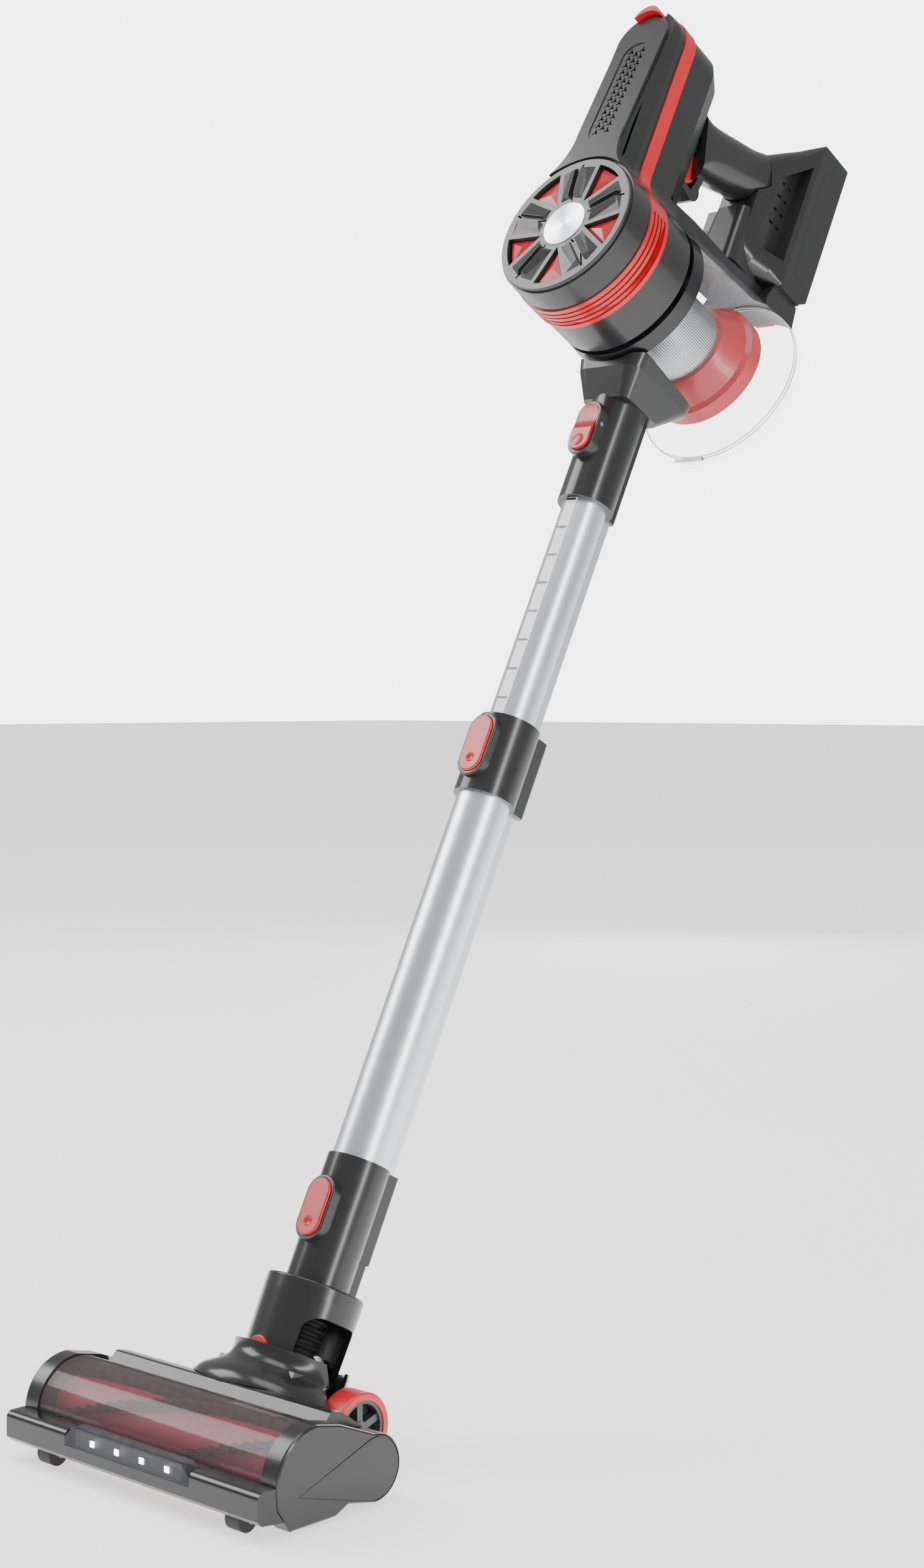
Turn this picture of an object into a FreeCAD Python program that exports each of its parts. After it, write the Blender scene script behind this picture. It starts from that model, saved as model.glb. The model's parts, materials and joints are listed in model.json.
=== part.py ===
import FreeCAD, Part
import math
import os
from FreeCAD import Vector

os.makedirs("parts", exist_ok=True)

# Cordless stick vacuum cleaner, leaning back in its working position.
#
# Lengths are in millimetres. The wand and everything on it are drawn in the wand's
# own axes: x to the side, y to the rear, z up along the tube, with the origin on the
# tube's axis at the joint of the lower cuff. The floor head is drawn level, with the
# same origin. The finished model is moved so that its origin is the hand grip's centre.

# ---- pose and overall sizes
LEAN = 27.5                 # lean of the wand from the vertical, degrees
FLOOR = -120.5              # height of the floor under the drawing origin
RUN = 0.3                   # clearance between moving faces
FIT = 0.05                  # clearance of a running fit
SEAT = 0.2                  # clearance of a seated piece that can be taken off

# ---- telescopic wand
OUTER_R = 18.0              # outer tube, outside radius
OUTER_WALL = 1.3
OUTER_RIB_HALF = 8.0        # cable rib on the rear of the outer tube
OUTER_RIB_Y = 25.6
INNER_R = 15.4              # inner tube, outside radius
INNER_WALL = 1.2
INNER_RIB_HALF = 6.4
INNER_RIB_Y = 22.6
FLAT_Y = 13.8               # flat on the front of the inner tube that carries the scale
SCALE_HALF = 5.0
SCALE_THICK = 0.7
TICKS = 14
TICK_PITCH = 22.0
SOCKET_Z = 521.0            # lower rim of the hand unit's wand socket
CLAMP_Z0 = 300.0            # telescope clamp
CLAMP_Z1 = 355.0
CUFF_Z1 = 51.3              # lower cuff
CUFF_Z0 = -6.0
INNER_Z0 = 206.0            # lower end of the inner tube
INNER_Z1 = 590.0
OUTER_Z0 = 14.0
OUTER_Z1 = CLAMP_Z1 - 6.0
CUFF_R = 20.4
SOCKET_R = 19.6
CLAMP_R = 21.0

# ---- neck and swivel
NECK_R = 20.2
NECK_RIB_HALF = 10.0
NECK_RIB_Y = 26.8
COLLAR_R = 30.9
COLLAR_Z = -28.7            # top of the collar
COLLAR_SEAM_Z = -37.5
PIN_Z = -75.5               # swivel pins
PIN_R = 6.0
CAP_R = 7.4
LEG_IN = 26.4               # inside of the yoke's legs
HOSE_R = 15.0

# ---- drum, cup and tower of the hand unit
DRUM_Z = 678.9              # height of the drum's axis
DRUM_R = 54.5
DRUM_FRONT = -104.0
FACE_R = 52.6               # front grille
FACE_FRONT = -107.0
BAND_Y0 = -85.0             # red band
BAND_Y1 = -65.0
STRIPE_Y0 = -82.5
STRIPE_Y1 = -71.0
DRUM_REAR = -36.0
BAND_TOP = DRUM_Z + 34.0     # height where the band narrows to the mast's stripes
WALL = 2.4
TOWER_HALF = 26.5
TOWER_SIDE_Z = 841.0
TOWER_TOP_Z = 866.0
TOWER_REAR = -46.0
CUP_R = 56.5
CUP_END_R = 64.5            # the cup widens towards its lid
CUP_WALL = 2.0
CUP_FRONT = -35.6
CUP_END = 88.0              # joint between cup and lid
LID_END = 108.0
MESH_R = 30.0
CONE_R = 45.0
CAP_FACE_R = 16.9

CUP_DRAFT = (CUP_END_R - CUP_R) / (CUP_END - CUP_FRONT)

# ---- handle, spine and battery
GRIP_Y = 22.0
GRIP_Z = 821.5
GRIP_RISE = 18.7            # slope of the grip, degrees
GRIP_R = 20.2
GRIP_HALF = 17.0
DOCK_HALF = 32.0
DOCK_Y0 = 84.0
DOCK_TOP = 880.0
PACK_REAR = 116.0
PACK_FOOT = 762.0
SPINE_HALF = 18.0
SPINE_Z = 749.0

# ---- floor head
HEAD_HALF = 111.5
CAP_WIDTH = 13.0
BRUSH_Y = -119.0
BRUSH_Z = -94.4
BRUSH_R = 24.8
CORE_R = 18.6
WINDOW_R = 29.6
WINDOW_WALL = 2.0
BUMPER_Y = -163.0
BUMPER_Z0 = -109.6
BUMPER_Z1 = -91.5
AXLE_Y = -30.3
WHEEL_R = 22.2
AXLE_Z = FLOOR + WHEEL_R
WHEEL_OUT = 57.1
WHEEL_WIDTH = 16.9
HUB_R = 17.6
AXLE_R = 2.5
CRADLE_R = 51.0             # clear radius of the cradle about the wheel axle
CRADLE_HALF = 32.5
ROLLER_X = 83.3
ROLLER_R = 7.0
ROLLER_Y = -150.0

SIN = math.sin(math.radians(LEAN))
COS = math.cos(math.radians(LEAN))


# ================================================================ helpers
def box(x0, x1, y0, y1, z0, z1):
    return Part.makeBox(x1 - x0, y1 - y0, z1 - z0, Vector(x0, y0, z0))


def rod(radius, start, end):
    start = Vector(*start)
    axis = Vector(*end) - start
    return Part.makeCylinder(radius, axis.Length, start, axis)


def cone(radius_0, radius_1, start, end):
    start = Vector(*start)
    axis = Vector(*end) - start
    return Part.makeCone(radius_0, radius_1, axis.Length, start, axis)


def cup_cone(grow, y0, y1):
    """The cup's outside between two planes, larger by grow all round."""
    radius_0 = CUP_R + grow + CUP_DRAFT * (y0 - CUP_FRONT)
    radius_1 = CUP_R + grow + CUP_DRAFT * (y1 - CUP_FRONT)
    return cone(radius_0, radius_1, (0, y0, DRUM_Z), (0, y1, DRUM_Z))


def pipe(outer, inner, start, end):
    return rod(outer, start, end).cut(rod(inner, start, end))


def fuse(shapes):
    """One clean solid from shapes that touch or overlap."""
    whole = shapes[0].multiFuse(list(shapes[1:])) if len(shapes) > 1 else shapes[0]
    return whole.removeSplitter()


def cut(shape, *tools):
    for tool in tools:
        shape = shape.cut(tool)
    return shape


def group(shapes):
    """Separate solids kept side by side in one piece of hardware."""
    solids = [solid for shape in shapes for solid in shape.Solids]
    return Part.makeCompound(solids)


def on_x(x):
    return lambda u, v: Vector(x, u, v)


def on_y(y):
    return lambda u, v: Vector(u, y, v)


def on_z(z):
    return lambda u, v: Vector(u, v, z)


def outline(steps, place):
    """Closed wire. A step is a point, or a pair (via, end) for an arc."""
    first = place(*steps[0])
    here = first
    edges = []
    for step in steps[1:]:
        if isinstance(step[0], tuple):
            end = place(*step[1])
            edges.append(Part.Arc(here, place(*step[0]), end).toShape())
        else:
            end = place(*step)
            edges.append(Part.makeLine(here, end))
        here = end
    if here.distanceToPoint(first) > 1e-6:
        edges.append(Part.makeLine(here, first))
    return Part.Wire(edges)


def slab(steps, place, depth):
    """A closed outline pushed along the normal of its plane by depth."""
    origin = place(0, 0)
    normal = (place(1, 0) - origin).cross(place(0, 1) - origin)
    if abs(normal.x + normal.y + normal.z) > 0 and min(normal.x, normal.y, normal.z) < -0.5:
        normal = normal * -1
    return Part.Face(outline(steps, place)).extrude(normal * depth)


def turned(steps, place, centre, axis):
    """A closed outline turned once round an axis."""
    face = Part.Face(outline(steps, place))
    return face.revolve(Vector(*centre), Vector(*axis), 360)


def loft(wires):
    return Part.makeLoft(wires, True, True)


def rounded_steps(half_u, half_v, radius, u=0.0, v=0.0):
    """Steps of a rounded rectangle centred on u, v."""
    k = radius * (1 - math.sqrt(0.5))
    a, b = half_u, half_v
    return [
        (u + a, v - b + radius),
        (u + a, v + b - radius),
        ((u + a - k, v + b - k), (u + a - radius, v + b)),
        (u - a + radius, v + b),
        ((u - a + k, v + b - k), (u - a, v + b - radius)),
        (u - a, v - b + radius),
        ((u - a + k, v - b + k), (u - a + radius, v - b)),
        (u + a - radius, v - b),
        ((u + a - k, v - b + k), (u + a, v - b + radius)),
    ]


def soften(shape, radius, chosen):
    """Round the edges whose middle point passes the test."""
    edges = [e for e in shape.Edges if chosen(e.BoundBox.Center)]
    return shape.makeFillet(radius, edges)


def turn(shape, centre, axis, angle):
    shape = shape.copy()
    shape.rotate(Vector(*centre), Vector(*axis), angle)
    return shape


def around(shape, count, centre, axis):
    """Copies of a shape spaced evenly round an axis."""
    return [turn(shape, centre, axis, 360.0 * i / count) for i in range(count)]


def mirrored(shape):
    return shape.mirror(Vector(0, 0, 0), Vector(1, 0, 0))


# ================================================================ tube sections
def ribbed(radius, rib_half, rib_y, z0, z1, corner=2.0):
    """Round tube body with a rib along its rear."""
    body = rod(radius, (0, 0, z0), (0, 0, z1))
    rib = box(-rib_half, rib_half, 0, rib_y, z0, z1)
    rib = soften(rib, corner, lambda c: abs(c.x) > rib_half - 0.1 and c.y > rib_y - 0.1
                 and z0 + 1 < c.z < z1 - 1)
    return fuse([body, rib])


def outer_section(grow, z0, z1):
    return ribbed(OUTER_R + grow, OUTER_RIB_HALF + grow, OUTER_RIB_Y + grow, z0, z1)


def inner_section(grow, z0, z1):
    return ribbed(INNER_R + grow, INNER_RIB_HALF + grow, INNER_RIB_Y + grow, z0, z1, 1.5)


# ================================================================ wand
def make_inner_tube():
    body = inner_section(0, INNER_Z0, INNER_Z1)
    bore = rod(INNER_R - INNER_WALL, (0, 0, INNER_Z0), (0, 0, INNER_Z1))
    duct = box(-INNER_RIB_HALF + 1.2, INNER_RIB_HALF - 1.2, INNER_R + 0.6,
               INNER_RIB_Y - 1.2, INNER_Z0, INNER_Z1)
    flat = box(-SCALE_HALF, SCALE_HALF, -INNER_R - 1, -FLAT_Y - 0.1, INNER_Z0, INNER_Z1)
    seat = box(-SCALE_HALF, SCALE_HALF, -INNER_R, -FLAT_Y + 1.4, INNER_Z0, INNER_Z1)
    wall = cut(body, bore, duct, flat)
    backing = seat.common(rod(INNER_R - INNER_WALL + 0.2, (0, 0, INNER_Z0), (0, 0, INNER_Z1)))
    return cut(fuse([wall, backing]), flat)


def make_scale_strip():
    """White strip on the flat of the inner tube, with a notch for each tick."""
    z0, z1 = INNER_Z0 + 4, SOCKET_Z + 30
    front = -FLAT_Y - 0.1
    strip = box(-SCALE_HALF + 0.4, SCALE_HALF - 0.4, front - SCALE_THICK, front, z0, z1)
    notches = []
    for i in range(TICKS):
        z = SOCKET_Z - 24 - i * TICK_PITCH
        notches.append(box(-2.4, 2.4, front - SCALE_THICK - 1, front - SCALE_THICK + 0.4,
                           z - 0.7, z + 0.7))
    return cut(strip, *notches)


def make_outer_tube():
    body = outer_section(0, OUTER_Z0, OUTER_Z1)
    bore = rod(OUTER_R - OUTER_WALL, (0, 0, OUTER_Z0), (0, 0, OUTER_Z1))
    rib_in = OUTER_RIB_HALF - OUTER_WALL
    duct = box(-rib_in, rib_in, 0, OUTER_RIB_Y - OUTER_WALL, OUTER_Z0, OUTER_Z1)
    return cut(body, bore, duct)


def make_guide_bush():
    """Plastic bush in the top of the outer tube that the inner tube slides in."""
    z0, z1 = OUTER_Z1 - 42, OUTER_Z1
    outer = fuse([
        rod(OUTER_R - OUTER_WALL - FIT, (0, 0, z0), (0, 0, z1)),
        box(-OUTER_RIB_HALF + OUTER_WALL + FIT, OUTER_RIB_HALF - OUTER_WALL - FIT, 0,
            OUTER_RIB_Y - OUTER_WALL - FIT, z0, z1),
    ])
    front = box(-SCALE_HALF, SCALE_HALF, -OUTER_R, -FLAT_Y, z0, z1)
    return cut(outer, inner_section(FIT + 0.05, z0, z1), front)


POD_HALF = 11.5
POD_FRONT = -24.0


def pod_steps(half, z0, z1):
    """Stadium outline of a button or its surround on the front of a cuff."""
    return [(half, z0 + half), (half, z1 - half), ((0, z1), (-half, z1 - half)),
            (-half, z0 + half), ((0, z0), (half, z0 + half))]


BUTTON_HALF = 9.2
BUTTON_TRAVEL = 2.0


BUTTON_FRONT = POD_FRONT - 1.6
BUTTON_BACK = BUTTON_FRONT + 3.2
WELL_FLOOR = BUTTON_BACK + BUTTON_TRAVEL + 1.2


def cuff_button(z0, z1):
    """Stadium push button with a dimple near its lower end."""
    plate = slab(pod_steps(BUTTON_HALF, z0, z1), on_y(BUTTON_FRONT),
                 BUTTON_BACK - BUTTON_FRONT)
    plate = soften(plate, 1.2, lambda c: c.y < BUTTON_FRONT + 0.01)
    dimple = Part.makeSphere(5.0, Vector(0, BUTTON_FRONT - 3.6, z0 + BUTTON_HALF))
    return cut(plate, dimple)


def pod(z0, z1, half=POD_HALF, front=POD_FRONT):
    """Raised surround of a button."""
    body = slab(pod_steps(half, z0, z1), on_y(front), -front)
    return soften(body, 1.0, lambda c: c.y < front + 0.01)


def button_well(z0, z1):
    """Space for a cuff button, open to the front."""
    return slab(pod_steps(BUTTON_HALF + RUN, z0 - RUN, z1 + RUN), on_y(POD_FRONT - 3),
                WELL_FLOOR - POD_FRONT + 3)


def leaf_spring(z0, z1):
    """Bowed strip on the floor of a button's well."""
    rise = 0.8
    middle = (z0 + z1) / 2
    steps = [(WELL_FLOOR, z0 + 6), ((WELL_FLOOR - rise, middle), (WELL_FLOOR, z1 - 6)),
             (WELL_FLOOR - 0.3, z1 - 6),
             ((WELL_FLOOR - rise - 0.3, middle), (WELL_FLOOR - 0.3, z0 + 6))]
    return slab(steps, on_x(-3.0), 6.0)


CLAMP_BUTTON = (CLAMP_Z0 + 10.5, CLAMP_Z1 - 4.5)
LOWER_BUTTON = (-4.0, 33.0)


def make_clamp_collar():
    body = ribbed(CLAMP_R, OUTER_RIB_HALF + 3.4, OUTER_RIB_Y + 3.6, CLAMP_Z0, CLAMP_Z1, 2.5)
    front_pod = pod(CLAMP_BUTTON[0] - 2.6, CLAMP_BUTTON[1] + 2.6)
    body = fuse([body, front_pod])
    below = outer_section(FIT, CLAMP_Z0 - 1, OUTER_Z1 + FIT)
    above = inner_section(FIT + 0.1, OUTER_Z1 - 1, CLAMP_Z1 + 1)
    return cut(body, below, above, button_well(*CLAMP_BUTTON))


def make_lower_cuff():
    body = ribbed(CUFF_R, OUTER_RIB_HALF + 2.6, OUTER_RIB_Y + 2.8, CUFF_Z0, CUFF_Z1, 2.5)
    body = fuse([body, pod(LOWER_BUTTON[0] - 2.4, LOWER_BUTTON[1] + 2.4)])
    tube_seat = outer_section(FIT, OUTER_Z0 - FIT, CUFF_Z1 + 1)
    airway = rod(OUTER_R - OUTER_WALL, (0, 0, CUFF_Z0 - 4), (0, 0, OUTER_Z0 + 1))
    pod_base = box(-30, 30, -40, 40, CUFF_Z0 - 20, CUFF_Z0)
    return cut(body, tube_seat, airway, pod_base, button_well(*LOWER_BUTTON))


# ================================================================ neck and cradle
def make_neck_tube():
    """Spigot under the lower cuff, running down into the collar."""
    top = CUFF_Z0 - 0.0
    body = ribbed(NECK_R, NECK_RIB_HALF, NECK_RIB_Y, COLLAR_Z - 12, top, 2.5)
    foot = rod(COLLAR_R - 2.6, (0, 0, COLLAR_Z - 12), (0, 0, COLLAR_Z - 4))
    bore = rod(HOSE_R - 2.2, (0, 0, COLLAR_Z - 13), (0, 0, top + 1))
    sockets = [rod(1.25, (x, OUTER_RIB_Y - 4.5, top - 5.0), (x, OUTER_RIB_Y - 4.5, top + 1))
               for x in (-4.0, 0.0, 4.0)]
    return cut(fuse([body, foot]), bore, *sockets)


def make_collar():
    """Ring that holds the neck tube on the yoke."""
    body = rod(COLLAR_R, (0, 0, COLLAR_SEAM_Z), (0, 0, COLLAR_Z))
    body = soften(body, 1.4, lambda c: abs(c.z - COLLAR_Z) < 0.01)
    throat = ribbed(NECK_R + FIT, NECK_RIB_HALF + FIT, NECK_RIB_Y + FIT,
                    COLLAR_Z - 13, COLLAR_Z + 1, 2.5)
    seat = rod(COLLAR_R - 2.6 + FIT, (0, 0, COLLAR_SEAM_Z - 1), (0, 0, COLLAR_Z - 4))
    return cut(body, throat, seat)


FRONT_LEG_Y = -22.0         # chords that bound the legs round the skirt
REAR_LEG_Y = 17.5
LEG_END_UP = 3.5            # centre of the legs' round ends above the pins
FRONT_LEG_HALF = math.sqrt(COLLAR_R ** 2 - FRONT_LEG_Y ** 2)
REAR_LEG_HALF = math.sqrt(COLLAR_R ** 2 - REAR_LEG_Y ** 2)


def leg_end(half, y0, y1):
    """Cutter that leaves a leg with a round lower end."""
    centre = PIN_Z + LEG_END_UP
    return box(-45, 45, y0, y1, PIN_Z - 40, centre).cut(
        rod(half, (0, y0, centre), (0, y1, centre)))


def make_yoke():
    """Round skirt with a front and a rear leg, arched open on both sides."""
    low = PIN_Z - 25
    skirt = cone(COLLAR_R - 1.6, COLLAR_R, (0, 0, low), (0, 0, COLLAR_SEAM_Z))
    inside = rod(LEG_IN, (0, 0, low - 1), (0, 0, COLLAR_Z - 12))
    crown = PIN_Z + 27.5
    arch = slab([(FRONT_LEG_Y, low - 1), (FRONT_LEG_Y, crown - 10),
                 ((FRONT_LEG_Y + 2.9, crown - 2.9), (FRONT_LEG_Y + 10, crown)),
                 (REAR_LEG_Y - 4, crown),
                 ((REAR_LEG_Y - 1.2, crown - 1.2), (REAR_LEG_Y, crown - 4)),
                 (REAR_LEG_Y, low - 1)], on_x(-45), 90)
    seat = rod(COLLAR_R - 2.6 + FIT, (0, 0, COLLAR_Z - 12), (0, 0, COLLAR_Z + 1))
    pins = rod(PIN_R, (0, -COLLAR_R - 5, PIN_Z), (0, COLLAR_R + 5, PIN_Z))
    cap = rod(CAP_R + FIT, (0, -COLLAR_R - 5, PIN_Z), (0, -COLLAR_R + 2.4, PIN_Z))
    return cut(skirt, inside, arch, leg_end(FRONT_LEG_HALF, -45, 0),
               leg_end(REAR_LEG_HALF, 0, 45), seat, pins, cap)


def make_swivel_pins():
    """Pins through the yoke's legs into the cradle's bosses."""
    front = rod(PIN_R - FIT, (0, -COLLAR_R + 2.4, PIN_Z), (0, -PIN_START, PIN_Z))
    rear = rod(PIN_R - FIT, (0, PIN_START, PIN_Z), (0, COLLAR_R - 1.5, PIN_Z))
    return group([front, rear])


def make_swivel_cap():
    """Coloured cap over the front pin, let into the leg."""
    start = -COLLAR_R - 1.4
    cap = rod(CAP_R, (0, start, PIN_Z), (0, -COLLAR_R + 2.4, PIN_Z))
    return soften(cap, 0.9, lambda c: c.y < start + 0.1)


PIN_START = 16.0            # inner ends of the two pins
BOSS_R = 9.0
REAR_BOSS_Y = 20.8          # outer face of the rear pin's boss


def make_swivel_ring():
    """Black ring on the rear pin between boss and leg."""
    return pipe(BOSS_R, PIN_R, (0, REAR_BOSS_Y + RUN, PIN_Z), (0, REAR_BOSS_Y + 3.0, PIN_Z))


def make_hose():
    """Corrugated hose that bends inside the yoke."""
    top, bottom = COLLAR_Z - 12.2, PIN_Z - 9
    count = 8
    pitch = (top - bottom) / count
    steps = [(HOSE_R - 4.4, bottom), (HOSE_R - 2.2, bottom)]
    for i in range(count):
        z = bottom + i * pitch
        steps.append((HOSE_R, z + 0.5 * pitch))
        steps.append((HOSE_R - 2.4, z + pitch))
    steps.append((HOSE_R - 4.4, top))
    for i in range(count - 1, -1, -1):
        z = bottom + i * pitch
        steps.append((HOSE_R - 1.8, z + 0.5 * pitch))
        if i:
            steps.append((HOSE_R - 4.2, z))
    return turned(steps, on_y(0), (0, 0, 0), (0, 0, 1))


# ================================================================ hand unit
def keyhole(grow=0.0, half=TOWER_HALF, radius=DRUM_R, neck=22.0):
    """Front outline of drum and tower: a circle with a round-topped mast."""
    radius = radius + grow
    half = half + grow
    neck = neck - grow
    neck_x = half + neck
    neck_z = DRUM_Z + math.sqrt((radius + neck) ** 2 - neck_x ** 2)
    reach = radius / (radius + neck)
    touch = (neck_x * reach, DRUM_Z + (neck_z - DRUM_Z) * reach)
    angle = math.atan2(DRUM_Z - neck_z, -neck_x)
    middle = (angle + math.pi) / 2 if angle > 0 else (angle + 2 * math.pi + math.pi) / 2
    bend = (neck_x + neck * math.cos(middle), neck_z + neck * math.sin(middle))
    side, top = TOWER_SIDE_Z, TOWER_TOP_Z + grow
    return [
        (half, neck_z), (half, side), ((0, top), (-half, side)), (-half, neck_z),
        ((-bend[0], bend[1]), (-touch[0], touch[1])),
        ((0, DRUM_Z - radius), touch),
        (bend, (half, neck_z)),
    ]


def keyhole_solid(y0, y1, grow=0.0, **sizes):
    return slab(keyhole(grow, **sizes), on_y(y0), y1 - y0)


PANEL_TILT = 4.8            # the mast's face leans back from the drum's face
PANEL_HALF = 20.6
PANEL_THICK = 2.2
PANEL_Y = -107.2            # front of the panel where it meets the grille


def panel_space(depth):
    """Everything in front of the mast's face, set back by depth."""
    block = box(-80, 80, PANEL_Y - 60, PANEL_Y + depth, DRUM_Z + 30, DRUM_Z + 260)
    return turn(block, (0, PANEL_Y, DRUM_Z + 50), (1, 0, 0), -PANEL_TILT)


def make_front_housing():
    """Front half of drum and mast, with a chamfer round the mast's face."""
    step = BAND_Y0 - 3.5
    front = DRUM_FRONT
    outer = fuse([
        loft([outline(keyhole(0, half=PANEL_HALF, radius=DRUM_R - 0.6), on_y(front)),
              outline(keyhole(0), on_y(step))]),
        keyhole_solid(step, BAND_Y0),
        keyhole_solid(step, STRIPE_Y0).common(box(-90, 90, step, STRIPE_Y0, BAND_TOP, 999)),
    ])
    inner = keyhole_solid(front + 4.5, STRIPE_Y0 + 1, -WALL - 1.2)
    mouth = rod(FACE_R + SEAT, (0, front - 8, DRUM_Z), (0, front + 2.6, DRUM_Z))
    intake = rod(FACE_R - 5, (0, front - 8, DRUM_Z), (0, front + 9, DRUM_Z))
    mast_inner = inner.cut(panel_space(PANEL_THICK + 2.4))
    shell = cut(outer, panel_space(PANEL_THICK + FIT), mast_inner, mouth, intake)
    window = box(-9.5, 9.5, front - 9, front + 14, DRUM_Z + 80, DRUM_Z + 158)
    switch = box(-4.4, 4.4, POWER_Y + 8.6, POWER_Y + 15.9, DRUM_Z + 150, TOWER_TOP_Z - 4)
    return cut(shell, window, button_space(RUN), switch)


def panel_steps():
    edge = FACE_R + 1.6
    foot = (31.0, math.sqrt(edge ** 2 - 31.0 ** 2))
    top = TOWER_SIDE_Z - DRUM_Z + 1.5
    return [
        foot, ((0, edge), (-foot[0], foot[1])),
        ((-23.0, 58.0), (-PANEL_HALF, 78.0)),
        (-PANEL_HALF, top), ((0, top + PANEL_HALF * 0.92), (PANEL_HALF, top)),
        (PANEL_HALF, 78.0), ((23.0, 58.0), foot),
    ]


def vent_slot(x, v):
    """One three-armed slot of the vent panel."""
    arms = []
    for angle in (90, 215, 325):
        arm = box(-0.65, 0.65, PANEL_Y - 5, PANEL_Y + 5, v, v + 2.6)
        arms.append(turn(arm, (0, 0, v), (0, 1, 0), 90 - angle))
    slot = fuse(arms)
    slot.translate(Vector(x, 0, 0))
    return slot


VENT_COLUMNS = 3
VENT_ROWS = 13
VENT_PITCH = 6.1
VENT_SIDE = 5.0


def make_vent_panel():
    """Flat face of the mast with a sunk stadium field of small three-armed slots."""
    shift = DRUM_Z
    raised = [((s[0], s[1] + shift) if not isinstance(s[0], tuple)
               else ((s[0][0], s[0][1] + shift), (s[1][0], s[1][1] + shift)))
              for s in panel_steps()]
    plate = slab(raised, on_y(PANEL_Y), PANEL_THICK)
    z0 = shift + 70
    z1 = z0 + 88
    sunk = slab(pod_steps(11.0, z0, z1), on_y(PANEL_Y - 1), 1.7)
    slots = []
    for column in range(VENT_COLUMNS):
        for row in range(VENT_ROWS - column % 2):
            x = (column - 1) * VENT_SIDE
            z = z0 + 8 + row * VENT_PITCH + (column % 2) * VENT_PITCH / 2
            slots.append(vent_slot(x, z))
    plate = cut(plate, sunk, Part.makeCompound(slots))
    plate = turn(plate, (0, PANEL_Y, DRUM_Z + 50), (1, 0, 0), -PANEL_TILT)
    return cut(plate, button_space(RUN))


POWER_Y = -101.0
POWER_TRAVEL = 1.2


def button_shape(grow, lift):
    """Curved cap of the power button on the mast's top edge."""
    half = 11.0 + grow
    low = TOWER_TOP_Z - 12.0 - grow
    steps = [(half, low + 4), (half, TOWER_TOP_Z - 7.6 + lift),
             ((0, TOWER_TOP_Z + 0.4 + lift), (-half, TOWER_TOP_Z - 7.6 + lift)),
             (-half, low + 4), ((0, low + 8.0), (half, low + 4))]
    return slab(steps, on_y(POWER_Y - grow), 11.0 + 2 * grow)


def button_space(grow):
    """Room for the button, its travel and its way out of the top."""
    above = button_shape(grow, 8.0)
    pressed = button_shape(grow, 0)
    pressed.translate(Vector(0, 0, -POWER_TRAVEL))
    return above.fuse(pressed)


def make_power_button():
    return button_shape(0, 0)


def make_power_switch():
    """Small switch under the power button."""
    z = TOWER_TOP_Z - 12.0
    body = box(-4, 4, POWER_Y + 9.0, POWER_Y + 15.5, z - 8, z + 2.0)
    plunger = rod(1.0, (0, POWER_Y + 10.1, z), (0, POWER_Y + 10.1, z + 6.2))
    return fuse([body, plunger])


def band_ribs():
    """Grooves round the band."""
    grooves = []
    count = 4
    pitch = (BAND_Y1 - BAND_Y0) / (count + 1)
    for i in range(count):
        y = BAND_Y0 + pitch * (i + 1)
        grooves.append(pipe(DRUM_R + 3, DRUM_R - 0.4, (0, y - 0.7, DRUM_Z),
                            (0, y + 0.7, DRUM_Z)))
    return Part.makeCompound(grooves)


def make_accent_band():
    """Red band round the drum that runs up both sides of the mast."""
    low = box(-90, 90, BAND_Y0, BAND_Y1, DRUM_Z - 80, BAND_TOP)
    high = box(-90, 90, STRIPE_Y0, STRIPE_Y1, BAND_TOP - 1, DRUM_Z + 230)
    zone = fuse([low, high])
    ring = keyhole_solid(BAND_Y0, BAND_Y1, 1.1).common(zone)
    hollow = keyhole_solid(BAND_Y0 - 1, BAND_Y1 + 1, -WALL)
    grooves = band_ribs().common(box(-90, 90, BAND_Y0, BAND_Y1, DRUM_Z - 90, DRUM_Z + 20))
    return cut(ring, hollow, grooves)


def make_rear_housing():
    """Rear half of the drum and mast, closed at the rear of the mast."""
    drum = keyhole_solid(BAND_Y1, DRUM_REAR, 0)
    mast = keyhole_solid(STRIPE_Y1, TOWER_REAR, 0)
    cap = loft([outline(mast_block(TOWER_HALF), on_y(TOWER_REAR)),
                outline(mast_block(TOWER_HALF - 9.0), on_y(TOWER_REAR + 16))])
    upper = box(-90, 90, STRIPE_Y1, TOWER_REAR + 20, BAND_TOP, TOWER_TOP_Z + 20)
    lower = box(-90, 90, BAND_Y1, DRUM_REAR, DRUM_Z - 80, DRUM_Z + 60)
    body = fuse([drum.common(lower), mast.common(upper), cap])
    inner = fuse([
        keyhole_solid(STRIPE_Y1 - 1, TOWER_REAR - 2, -WALL),
        rod(DRUM_R - WALL, (0, BAND_Y1 - 1, DRUM_Z), (0, DRUM_REAR + 1, DRUM_Z)),
        loft([outline(mast_block(TOWER_HALF - WALL, WALL), on_y(TOWER_REAR - 3)),
              outline(mast_block(TOWER_HALF - 9.0 - WALL, WALL), on_y(TOWER_REAR + 12.5))]),
    ])
    cup_space = cup_cone(SEAT, CUP_FRONT, 200)
    grip_root = grip_rod(GRIP_R - 6.0, -48, -20)
    return cut(body, inner, cup_space, grip_root)


def mast_block(half, wall=0.0):
    """Outline of the mast's rear face."""
    low = SPINE_Z - 6.0 + wall
    side, top = TOWER_SIDE_Z, TOWER_TOP_Z
    shrink = TOWER_HALF - half
    return [(half, low), (half, side), ((0, top - shrink), (-half, side)), (-half, low)]


# ---- handle
def along_grip(distance):
    rise = math.radians(GRIP_RISE)
    return (0, GRIP_Y + distance * math.cos(rise), GRIP_Z + distance * math.sin(rise))


def grip_rod(radius, start, end):
    return rod(radius, along_grip(start), along_grip(end))


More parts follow.
